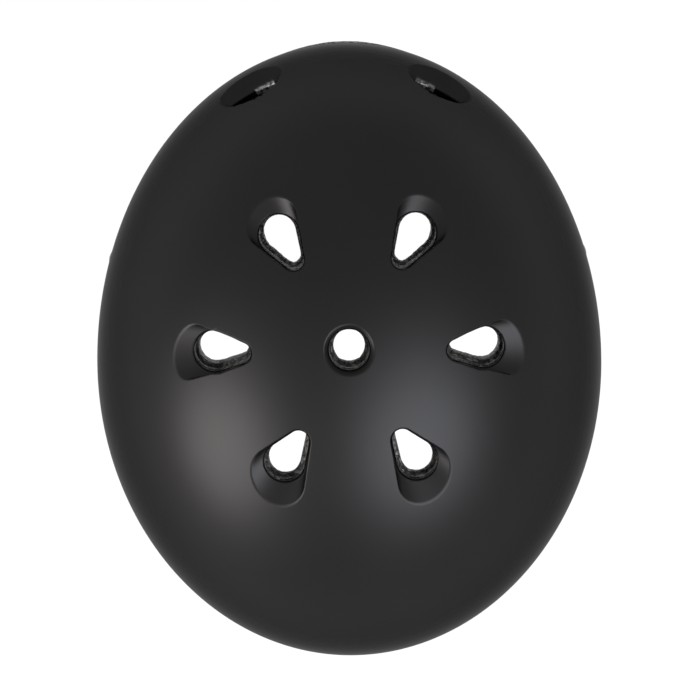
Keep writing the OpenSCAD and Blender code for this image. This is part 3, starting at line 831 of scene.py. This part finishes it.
def stitches(points, normals):
    """Short threads along a line, each dipping into the cloth at both ends."""
    line = even(points, STITCH_PITCH / STITCH_STEPS, False)
    size = max(int(round(STITCH_LONG / STITCH_PITCH * STITCH_STEPS)), 3)
    old, new = np.linspace(0, 1, len(normals)), np.linspace(0, 1, len(line))
    nrm = unit(np.stack([np.interp(new, old, normals[:, i]) for i in range(3)], 1))
    parts = []
    for i in range(0, len(line) - size, STITCH_STEPS):
        seg, nn = line[i:i + size + 1], nrm[i:i + size + 1]
        lift = np.sin(np.linspace(0, math.pi, len(seg)))[:, None] * STITCH_R * 1.4
        path = seg + nn * (lift - STITCH_R * 0.5)
        parts.append(sweep(path, nn, ellipse(STITCH_R, STITCH_R, 6), taper=0.4))
    return parts


BINDING_DEPTH, BINDING_IN, UNDER_PAD = 3.7, 0.3, 14.0
binding, threads = [], []
for pad, obj in zip(pads, cushions):
    mesh = obj.data
    face = BVHTree.FromPolygons([v.co for v in mesh.vertices], [tuple(f.vertices) for f in mesh.polygons])
    for loop in pad.loops:
        p = pad.place(loop, BINDING_DEPTH)
        n = wall_normals(p)
        out = np.cross(unit(np.roll(p.T, -1, 0) - np.roll(p.T, 1, 0)), n)
        sign = np.sign(pad.edge(p + 0.5 * out.T) - pad.edge(p)).mean()
        binding.append(sweep(p.T - BINDING_IN * sign * out, n, ellipse(1.0, 1.7, 12), closed=True))
    for (a0, b0), (a1, b1) in pad.seams:
        ab = np.stack([np.linspace(a0, a1, 40), np.linspace(b0, b1, 40)], 1)
        ab = ab[pad.outline(ab[:, 0], ab[:, 1]) < -1.2]
        deep = pad.place(ab, UNDER_PAD)
        n = wall_normals(deep)
        hits = [face.ray_cast(Vector(q * MM), Vector(d), 0.02)[0] for q, d in zip(deep.T, n)]
        ok = [i for i, h in enumerate(hits) if h is not None]
        if len(ok) > 5:
            threads += stitches(np.array([hits[i] for i in ok]) / MM, -n[ok])
binding_piece = piece("pad_binding", mesh_of("pad_binding", *joined(binding)))
pad_thread = piece("pad_thread", mesh_of("pad_thread", *joined(threads)))


# Hook-and-loop dots between liner and pads
DOT_RINGS = ((2.3, 0.55), (4.6, 0.55), (6.2, 0.52), (6.8, 0.4), (6.95, 0.2), (6.95, 0.1))  # radius, depth
DOT_TOP, DOT_SIDES = 0.55, 36
HOOKS, HOOK_FIELD, HOOK_FOOT, HOOK_SIDES, GOLDEN_ANGLE = 90, 6.4, 0.5, 6, 2.39996
HOOK_RINGS = ((0.0, 0.14), (0.35, 0.12), (0.45, 0.27), (0.6, 0.1))  # height, radius
DOT_SPOTS = (
    [((x, VENT_Y + y, 0), (0, 0, 1)) for x, y in (polar(23, a) for a in (30, 150, 270))]
    + [((x, 0, 9.5), (0, -1, 0)) for x in (-42, 42)] + [((x, 0, -27.0), (0, 1, 0)) for x in (-26, 26)]
    + [((0, y, -1.0), (s, 0, 0)) for s in (-1, 1) for y in (-36.0, 16.0)])


def hook(n, foot, turns):
    """A small mushroom hook that stands on foot, against the wall's normal n."""
    x = unit(np.cross(n, (0.3, 0.9, 0.1)))
    y = np.cross(n, x)
    circle = np.cos(turns)[:, None] * x + np.sin(turns)[:, None] * y
    verts = np.vstack([foot - n * h + r * circle for h, r in HOOK_RINGS])
    k = HOOK_SIDES
    faces = [(k * i + j, k * i + (j + 1) % k, k * i + k + (j + 1) % k, k * i + k + j)
             for i in range(len(HOOK_RINGS) - 1) for j in range(k)]
    last = k * (len(HOOK_RINGS) - 1)
    return verts, faces + [tuple(reversed(range(k))), tuple(range(last, last + k))]


def dot_parts(base, ray):
    """One dot: a thin round backing that follows the wall, and its hooks."""
    base, ray = np.array((base, ray), float)[..., None]
    e1 = np.array([(0, 1, 0) if ray[0, 0] else (1, 0, 0)], float).T
    e2 = np.cross(ray.T, e1.T).T
    n = DOT_SIDES
    turns = full_turn(n)

    def on(a, b, depth):
        return drop(base + e1 * a + e2 * b, ray, depth).T
    v = [on(0, 0, DOT_TOP)]
    v += [on(r * np.cos(turns), r * np.sin(turns), h) for r, h in DOT_RINGS]
    faces = [(0, 1 + i, 1 + (i + 1) % n) for i in range(n)]
    for k in range(len(DOT_RINGS) - 1):
        o = 1 + n * k
        faces += [(o + i, o + n + i, o + n + (i + 1) % n, o + (i + 1) % n) for i in range(n)]
    o = 1 + n * (len(DOT_RINGS) - 1)
    parts = [(np.vstack(v), faces + [tuple(o + n - 1 - i for i in range(n))])]
    for i in range(HOOKS):
        r, t = HOOK_FIELD * math.sqrt((i + 0.5) / HOOKS), GOLDEN_ANGLE * i
        foot = on(r * math.cos(t), r * math.sin(t), HOOK_FOOT)
        parts.append(hook(wall_normals(foot.T), foot, turns[::n // HOOK_SIDES]))
    return parts


all_dots = joined([part for spot in DOT_SPOTS for part in dot_parts(*spot)])
dots = piece("hook_pile_dots", mesh_of("hook_pile_dots", *all_dots))
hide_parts("hook_dots")

# Webbing: the routes of the CAD straps, swept finely with rounded edges
HANG_X, HANG_Y, DIV_Z, PLUG_Z = 85.0, -8.0, -92.0, -150.0
STRAP_W, STRAP_T, STRAP_GAP = 16.0, 1.4, 0.65
PLY = STRAP_T / 2 + 0.15  # half of two bands side by side
PASS = 2.3
TAIL_X = -4.0
STRAP_IN = WALL + STRAP_GAP + STRAP_T / 2
RIM_PASS = -37.0
# Heights below the rim, with the share of the way out to the wall that is left there
BELOW = ((-43.5, 0.93), (-49, 0.76), (-55, 0.5), (-61, 0.25), (-66, 0.09), (-70, 0.01), (-74, 0),
         (-79, 0), (-84.5, 0))
# Places (out, up) of the band round the socket's bar, and through the plug's, from the divider down
SOCKET_LOOP = ((PLY, -128), (PASS, -142), (PASS, -152), (1.656, -154.4), (0, -155.3), (-1.656, -154.4),
               (-PASS, -152), (-PASS, -146), (-1.5, -139.5), (-0.75, -134), (-0.65, -131))
PLUG_WEAVE = ((PLY, 31), (-0.4, 28), (-3, 24.5), (TAIL_X, 21.5), (TAIL_X, 14), (TAIL_X, 3),
              (TAIL_X, -6.6), (-3.3, -9.6), (-1.7, -11), (0.2, -11.1), (1.8, -10.3), (PASS, -8.25),
              (1.8, -6.2), (0.2, -5.5), (-1.5, -4.7), (-PASS, -2.4), (-PASS, 3), (-PASS, 11), (-PASS, 19.5))
TURN_FROM, TURN_OVER = -42.0, 27.0  # the band's face turns square to the head over this height


def slant(p, z):
    """How far back the band from anchor p runs at this height."""
    return p[0] + (z - p[1]) * (HANG_Y - p[0]) / (DIV_Z + 6 - p[1])


def on_skirt(p, z):
    return wall_x(slant(p, z), z, STRAP_IN), slant(p, z), z


def leg(p, k):
    """Points from anchor p down to the divider, on its outer (1) or inner (-1) side."""
    hx = HANG_X + k * PLY
    dx = on_skirt(p, RIM_PASS)[0] - hx
    return ([on_skirt(p, z) for z in (p[1] + 9, p[1], -30, RIM_PASS)]
            + [(hx + v * dx, slant(p, z), z) for z, v in BELOW]
            + [(hx, HANG_Y, -96.0), (hx, HANG_Y, -104.0)])


def band_route(p, low_points, k):
    """A band's centre line and the normals of its face."""
    q = leg(p, k) + [(HANG_X + x, HANG_Y, z) for x, z in low_points]
    c = np.array([smooth([v[i] for v in q], 14) for i in range(3)]).T
    n = []
    for i in range(len(c)):
        t = unit(c[min(i + 1, len(c) - 1)] - c[max(i - 1, 0)])
        y, z = c[i][1], max(c[i][2], TURN_FROM)
        a, b = wall_turn(wall_x(y, z, 0), y), wall_lean(z)
        wn = np.array((math.cos(a) * math.cos(b), math.sin(a) * math.cos(b), -math.sin(b)))
        f = (TURN_FROM - c[i][2]) / TURN_OVER
        if f <= 0:
            n.append(wn)
        elif f < 1:
            n.append(unit(wn * (1 - f) + np.array((1.0, 0, 0)) * f))
        elif abs(t[0]) < 0.01:
            n.append(np.array((1.0 if t[2] < 0 else -1.0, 0, 0)))
        else:
            n.append(np.array((-t[2], 0, t[0])))
    return c, np.array(n)


def band_section(half_w, half_t, r, flat=9):
    """Cross section of webbing: flat faces and rounded, slightly thicker selvages."""
    top = [(x, half_t * (1 - 0.05 * math.cos(math.pi * x / half_w)))
           for x in np.linspace(half_w - r, r - half_w, flat)]
    left = [(r - half_w - r * math.sin(t), half_t * math.cos(t))
            for t in np.linspace(0, math.pi, 7)[1:-1]]
    under = [(-x, -y) for x, y in top]
    edge = [(-x, -y) for x, y in left]
    return np.array(top + left + under + edge)


def webbing(node, p, low_points, k, s):
    c, n = band_route(p, low_points, k)
    sec = band_section(STRAP_W / 2, STRAP_T / 2, 0.7)
    v, f = sweep(c, n, sec, taper=0.7)
    if s < 0:
        v[:, 0] *= -1
    layers = {"across": np.tile(sec[:, 0], len(c)), "along": np.repeat(run_length(c), len(sec))}
    mesh = mesh_of(node + "_webbing", v, f, layers)
    obj = piece(node + "_webbing", mesh)
    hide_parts(node)
    return obj, c, n


FRONT_A, REAR_A = ANCHORS
INNER_END = ((-PLY, -118),)
plug_path = tuple((x, PLUG_Z + z) for x, z in PLUG_WEAVE)
straps = [webbing("strap_left_front", FRONT_A, SOCKET_LOOP, 1, 1),
          webbing("strap_left_rear", REAR_A, INNER_END, -1, 1),
          webbing("strap_right_front", FRONT_A, plug_path, 1, -1),
          webbing("strap_right_rear", REAR_A, INNER_END, -1, -1)]
TACK_HALF, TACK_PITCH, TACK_LIFT = 6.4, 0.55, 0.12


def bar_tack(c, n, z0, z1, first, face, s):
    """Zigzag thread across a band from z0 down to z1, on its outer (1) or inner (-1) face."""
    ids = [i for i in range(len(c)) if z1 <= c[i][2] <= z0 and (i < len(c) * 0.75) == first]
    line, nn = even(c[ids], TACK_PITCH, False), n[ids].mean(0)
    side = unit(np.cross(nn, line[-1] - line[0]))
    lift = nn * face * (STRAP_T / 2 + TACK_LIFT)
    zigzag = np.array([q + lift + side * (TACK_HALF if i % 2 else -TACK_HALF) for i, q in enumerate(line)])
    path = even(zigzag, 0.8, False)
    v, f = sweep(path, np.tile(nn, (len(path), 1)), ellipse(0.24, 0.2, 6))
    if s < 0:
        v[:, 0] *= -1
    return v, f


(_, lc, ln), _, (_, rc, rn), _ = straps
tacks = [bar_tack(lc, ln, -131.5, -137.0, True, 1, 1), bar_tack(lc, ln, -131.5, -137.0, False, 1, 1),
         bar_tack(rc, rn, -133.0, -136.5, False, -1, -1)]
tack_piece = piece("bar_tacks", mesh_of("bar_tacks", *joined(tacks)))


# Rigid fittings: the CAD nodes again with their edges eased
def eased(node, width):
    src = nodes[node]
    bm = bmesh.new()
    bm.from_mesh(src.data)
    bmesh.ops.remove_doubles(bm, verts=bm.verts, dist=1e-6)
    bmesh.ops.dissolve_limit(bm, angle_limit=math.radians(0.8), verts=bm.verts, edges=bm.edges)
    mesh = bpy.data.meshes.new(node + "_moulding")
    bm.to_mesh(mesh)
    bm.free()
    out = modified(mesh, "BEVEL", width=width * MM, segments=2, limit_method="ANGLE",
                   angle_limit=math.radians(38), harden_normals=False)
    out.shade_smooth()
    out.set_sharp_from_angle(angle=math.radians(32))
    new = piece(node + "_moulding", out, src["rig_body"])
    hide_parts(node)
    return new


FITTINGS = ("divider_base_left", "divider_lid_left", "divider_base_right", "divider_lid_right",
            "buckle_socket", "buckle_plug", "buckle_prong_front", "buckle_prong_rear")
fittings = [eased(n, 0.25) for n in FITTINGS]
keeper = eased("tail_keeper", 0.3)


# Materials: helpers for node trees
def material(name, **sockets):
    """A new material, its node tree and the socket of its object's coordinates."""
    mat = bpy.data.materials.new(name)
    mat.use_nodes = True
    bsdf = mat.node_tree.nodes["Principled BSDF"]
    for key, value in sockets.items():
        bsdf.inputs[key.replace("_", " ")].default_value = value
    return mat, mat.node_tree, add(mat.node_tree, "ShaderNodeTexCoord").outputs["Object"]


def add(tree, kind, inputs=None, **props):
    n = tree.nodes.new(kind)
    for k, v in props.items():
        setattr(n, k, v)
    for k, v in (inputs or {}).items():
        if isinstance(v, bpy.types.NodeSocket):
            tree.links.new(v, n.inputs[k])
        else:
            n.inputs[k].default_value = v
    return n


def ramp(tree, value, *stops):
    """A colour ramp over value with stops of (position, colour), where one number is a grey."""
    n = add(tree, "ShaderNodeValToRGB", {"Fac": value})
    el = n.color_ramp.elements
    while len(el) < len(stops):
        el.new(0.5)
    for e, (place, tone) in zip(el, stops):
        e.position = place
        e.color = (*tone, 1) if isinstance(tone, tuple) else (tone, tone, tone, 1)
    return n.outputs["Color"]


def layer(tree, name):
    return add(tree, "ShaderNodeAttribute", attribute_name=name).outputs["Fac"]


def noise(tree, co, scale, detail=4.0, rough=0.5):
    ins = {"Vector": co, "Scale": scale, "Detail": detail, "Roughness": rough}
    return add(tree, "ShaderNodeTexNoise", ins).outputs[0]


def cells(tree, co, scale, feature="F1", randomness=1.0):
    ins = {"Vector": co, "Scale": scale, "Randomness": randomness}
    return add(tree, "ShaderNodeTexVoronoi", ins, feature=feature).outputs


def bump(tree, height, strength, distance):
    ins = {"Height": height, "Strength": strength, "Distance": distance}
    return add(tree, "ShaderNodeBump", ins).outputs["Normal"]


def math_node(tree, op, a, b=0.0, c=0.0):
    return add(tree, "ShaderNodeMath", {0: a, 1: b, 2: c}, operation=op).outputs[0]


def times(tree, a, b):
    return math_node(tree, "MULTIPLY", a, b)


def plus(tree, a, b):
    return math_node(tree, "ADD", a, b)


def spread(tree, value, to_low, to_high, low=0.3, high=0.7):
    """The value's range from low to high spread over these two."""
    ins = {"Value": value, "From Min": low, "From Max": high, "To Min": to_low, "To Max": to_high}
    return add(tree, "ShaderNodeMapRange", ins).outputs["Result"]


def mixed(tree, factor, a, b, blend="MIX"):
    return add(tree, "ShaderNodeMix", {0: factor, 6: a, 7: b}, data_type="RGBA", blend_type=blend).outputs[2]


def multiply(tree, a, b):
    return mixed(tree, 1.0, a, b, "MULTIPLY")


def surface(mat, colour, roughness, normal):
    """The material with these sockets linked to its shader."""
    bsdf = mat.node_tree.nodes["Principled BSDF"]
    for key, socket in (("Base Color", colour), ("Roughness", roughness), ("Normal", normal)):
        mat.node_tree.links.new(socket, bsdf.inputs[key])
    return mat


def assign(obj, mat):
    obj.data.materials.clear()
    obj.data.materials.append(mat)


def shell_material():
    """Matte black paint, with painted shade at the vents' cut edges and in the brow scoops, a painted
    highlight along the brow lip, and a pale patch at the brow vents.
    """
    mat, t, co = material("matte_shell", Metallic=0.82, Specular_IOR_Level=0.15,
                          Specular_Tint=(0.36, 0.36, 0.36, 1))
    cloud = noise(t, co, 9.0, 3.0)
    paint = ramp(t, cloud, (0.3, (0.0262, 0.0250, 0.0250)), (0.7, (0.0296, 0.0288, 0.0292)))
    # Painted shade: darker at the vents' cut edges and inside the brow scoops.
    shade = ramp(t, layer(t, "painted_edge_shade"), (0.25, 1.0), (0.8, 0.1))
    # Painted highlight: pale grey along the brow lip, and a pale patch at the brow vents.
    painted_highlight_and_patch = times(t, layer(t, "lip_highlight_and_patch"), spread(t, noise(t, co, 700.0, 3.0), 0.1, 1.0, 0.4, 0.6))
    colour = mixed(t, painted_highlight_and_patch, multiply(t, paint, shade), (0.4, 0.39, 0.385, 1))
    grain = noise(t, co, 2600.0, 2.0)
    return surface(mat, colour, spread(t, cloud, 0.385, 0.41), bump(t, grain, 0.12, 0.00006))


def foam_material():
    """Black expanded beads, each with its own tone, and dark grooves between them; the palest beads and the
    fine bright specks are painted glints.
    """
    mat, t, co = material("beaded_foam", Specular_IOR_Level=0.5)
    edge = cells(t, co, 420.0, "DISTANCE_TO_EDGE")["Distance"]
    fine = noise(t, co, 2200.0, 4.0, 0.7)
    # Bead tones differ at random; the palest stops are painted glints.
    tone = ramp(t, cells(t, co, 420.0)["Color"], (0.0, 0.03), (0.4, (0.075, 0.072, 0.068)),
                (0.75, (0.16, 0.153, 0.145)), (1.0, (0.42, 0.40, 0.37)))
    groove = ramp(t, edge, (0.0, 0.25), (0.1, 1.0))
    # Fine specks: grain, with painted glints at the bright end.
    grain_and_glints = ramp(t, fine, (0.35, 0.45), (0.6, 1.1), (0.72, 1.9))
    relief = plus(t, times(t, math_node(t, "MINIMUM", edge, 0.25), 4.0), times(t, fine, 0.5))
    colour = multiply(t, multiply(t, tone, groove), grain_and_glints)
    return surface(mat, colour, spread(t, fine, 0.34, 0.62), bump(t, relief, 1.0, 0.0006))


def plastic_material():
    mat, t, co = material("textured_plastic")
    spark = noise(t, co, 1800.0, 3.0)
    colour = ramp(t, noise(t, co, 60.0, 3.0), (0.3, 0.011), (0.7, 0.018))
    return surface(mat, colour, spread(t, spark, 0.34, 0.5), bump(t, spark, 0.25, 0.0001))


def rubber_material():
    mat, t, co = material("soft_rubber", Specular_IOR_Level=0.3)
    cloud = noise(t, co, 120.0, 4.0)
    colour = ramp(t, cloud, (0.3, 0.012), (0.7, 0.022))
    pores = cells(t, co, 2400.0)["Distance"]
    return surface(mat, colour, spread(t, cloud, 0.6, 0.78), bump(t, pores, 0.3, 0.00012))


def painted_metal():
    mat, t, co = material("painted_metal")
    spots = noise(t, co, 260.0, 5.0, 0.65)
    colour = ramp(t, spots, (0.35, 0.010), (0.7, 0.024))
    return surface(mat, colour, spread(t, spots, 0.26, 0.42), bump(t, noise(t, co, 900.0, 2.0), 0.2, 0.00012))


def steel_material():
    mat, t, co = material("zinc_steel", Metallic=1.0)
    stretch = add(t, "ShaderNodeMapping", {"Vector": co, "Scale": (1.0, 1.0, 14.0)}).outputs["Vector"]
    lines = noise(t, stretch, 420.0, 5.0, 0.6)
    stain = ramp(t, noise(t, co, 160.0, 3.0), (0.3, (0.42, 0.42, 0.43)), (0.7, (0.6, 0.59, 0.58)))
    colour = multiply(t, stain, ramp(t, lines, (0.3, 0.75), (0.7, 1.0)))
    return surface(mat, colour, spread(t, lines, 0.28, 0.48), bump(t, lines, 0.2, 0.0001))


RIB, PICK = 1.14, 1.9  # the weave's pitches across and along, in millimetres


def webbing_material():
    """Nylon webbing: warp ribs side by side, crossed by picks that shift by half from rib to rib."""
    mat, t, co = material("nylon_webbing", Sheen_Weight=0.12, Sheen_Roughness=0.45, Specular_IOR_Level=0.4)
    rib = math_node(t, "DIVIDE", layer(t, "across"), RIB)
    ridge = math_node(t, "ABSOLUTE", math_node(t, "COSINE", times(t, rib, math.pi)))
    odd = times(t, math_node(t, "ROUND", rib), math.pi)
    pick = math_node(t, "COSINE", plus(t, times(t, layer(t, "along"), 2 * math.pi / PICK), odd))
    crown = math_node(t, "MULTIPLY_ADD", pick, 0.4, 0.6)
    weave = times(t, math_node(t, "POWER", ridge, 0.6), crown)
    fibre = noise(t, co, 3000.0, 3.0)
    lift = plus(t, weave, times(t, fibre, 0.3))
    colour = ramp(t, lift, (0.1, 0.004), (0.6, 0.015), (1.1, 0.03))
    return surface(mat, colour, spread(t, fibre, 0.5, 0.75), bump(t, lift, 0.9, 0.0003))


def knit_material(name, tone, scale, depth, sheen):
    """Brushed knit: small loops under a nap of short fibres."""
    mat, t, co = material(name, Sheen_Weight=sheen, Sheen_Roughness=0.5, Specular_IOR_Level=0.25)
    loops = cells(t, co, scale, "SMOOTH_F1", 0.55)["Distance"]
    nap = noise(t, co, scale * 3.2, 4.0, 0.7)
    base = ramp(t, nap, (0.3, tone * 0.45), (0.55, tone), (0.75, tone * 2.1))
    # Random mottle of the nap's tone.
    painted_highlight_and_mottle = ramp(t, noise(t, co, 45.0, 3.0), (0.35, 0.8), (0.7, 1.2))
    relief = math_node(t, "SUBTRACT", times(t, nap, 0.6), loops)
    return surface(mat, multiply(t, base, painted_highlight_and_mottle), spread(t, nap, 0.78, 0.95), bump(t, relief, 0.8, depth))


def thread_material():
    mat, t, co = material("sewing_thread", Sheen_Weight=0.1, Specular_IOR_Level=0.5)
    ins = {"Vector": co, "Scale": 900.0, "Distortion": 2.0, "Detail": 2.0}
    twist = add(t, "ShaderNodeTexWave", ins, bands_direction="DIAGONAL").outputs["Fac"]
    colour = ramp(t, twist, (0.0, 0.02), (1.0, 0.07))
    return surface(mat, colour, spread(t, twist, 0.6, 0.45, 0.0, 1.0), bump(t, twist, 0.6, 0.0001))


for mat, group in (
        (shell_material(), [shell]), (foam_material(), [liner]), (rubber_material(), [keeper]),
        (plastic_material(), fittings), (webbing_material(), [obj for obj, *_ in straps]),
        (knit_material("brushed_knit", 0.02, 950.0, 0.0004, 0.25), cushions),
        (knit_material("binding_tape", 0.013, 1500.0, 0.0002, 0.1), [binding_piece]),
        (knit_material("hook_tape", 0.025, 1300.0, 0.0001, 0.0), [dots]),
        (thread_material(), [pad_thread, tack_piece]),
        (painted_metal(), [nodes["anchor_rivets"]]), (steel_material(), [nodes["anchor_washers"]])):
    for obj in group:
        assign(obj, mat)

# Floor, world and lights
FLOOR_Z, FLOOR_R = -0.26, 6.0
disc = bpy.data.meshes.new("floor")
bm = bmesh.new()
bmesh.ops.create_circle(bm, cap_ends=True, segments=96, radius=FLOOR_R,
                        matrix=Matrix.Translation((0, 0, FLOOR_Z)))
bm.to_mesh(disc)
bm.free()
floor = new_object("floor", disc)


def seen_white(t):
    """1 for camera, glossy and transmission rays, and 0 for the rays that light things."""
    rays = add(t, "ShaderNodeLightPath").outputs
    mirrored = math_node(t, "MAXIMUM", rays["Is Glossy Ray"], rays["Is Transmission Ray"])
    return math_node(t, "MAXIMUM", rays["Is Camera Ray"], mirrored)


def flat_diffuse(t, tone):
    return add(t, "ShaderNodeBsdfDiffuse", {"Color": (tone, tone, tone, 1)}).outputs[0]


floor_mat = bpy.data.materials.new("pale_floor")
floor_mat.use_nodes = True
ft = floor_mat.node_tree
ft.nodes.clear()
glow = add(ft, "ShaderNodeEmission", {"Color": (1, 1, 1, 1), "Strength": 0.94}).outputs[0]
shadowed = add(ft, "ShaderNodeAddShader", {0: glow, 1: flat_diffuse(ft, 0.08)}).outputs[0]
floor_look = add(ft, "ShaderNodeMixShader", {0: seen_white(ft), 1: flat_diffuse(ft, 0.8), 2: shadowed})
add(ft, "ShaderNodeOutputMaterial", {"Surface": floor_look.outputs[0]})
assign(floor, floor_mat)

world = bpy.data.worlds.new("studio")
scene.world = world
world.use_nodes = True
wt = world.node_tree
wt.nodes.clear()
outward = add(wt, "ShaderNodeTexCoord").outputs["Generated"]
height = add(wt, "ShaderNodeSeparateXYZ", {0: outward}).outputs["Z"]
sky_tone = ramp(wt, height, (0.0, 0.8), (0.15, 0.55), (1.0, 0.5))
sky = add(wt, "ShaderNodeBackground", {"Color": sky_tone, "Strength": 1.0}).outputs[0]
add(wt, "ShaderNodeOutputWorld", {"Surface": sky})
scene.view_settings.view_transform = "Standard"

LAMP_AIM, LAMP_FAR = Vector((0, 0, 0.05)), 1.5


def area_light(name, azimuth, elevation, size, power, colour):
    """A soft round lamp that looks at the helmet from these angles."""
    data = bpy.data.lights.new(name, "AREA")
    data.shape, data.size, data.energy, data.color = "DISK", size, power, colour
    obj = new_object(name, data)
    a, e = math.radians(azimuth), math.radians(elevation)
    d = Vector((math.cos(a) * math.cos(e), math.sin(a) * math.cos(e), math.sin(e)))
    obj.location = LAMP_AIM + d * LAMP_FAR
    obj.rotation_mode = "QUATERNION"
    obj.rotation_quaternion = d.to_track_quat("Z", "Y")


area_light("key_left", 25.5, 28.6, 1.04, 21.5, (1.0, 0.975, 0.965))
area_light("key_right", 139.4, 52.2, 1.25, 23, (0.88, 0.93, 1.0))
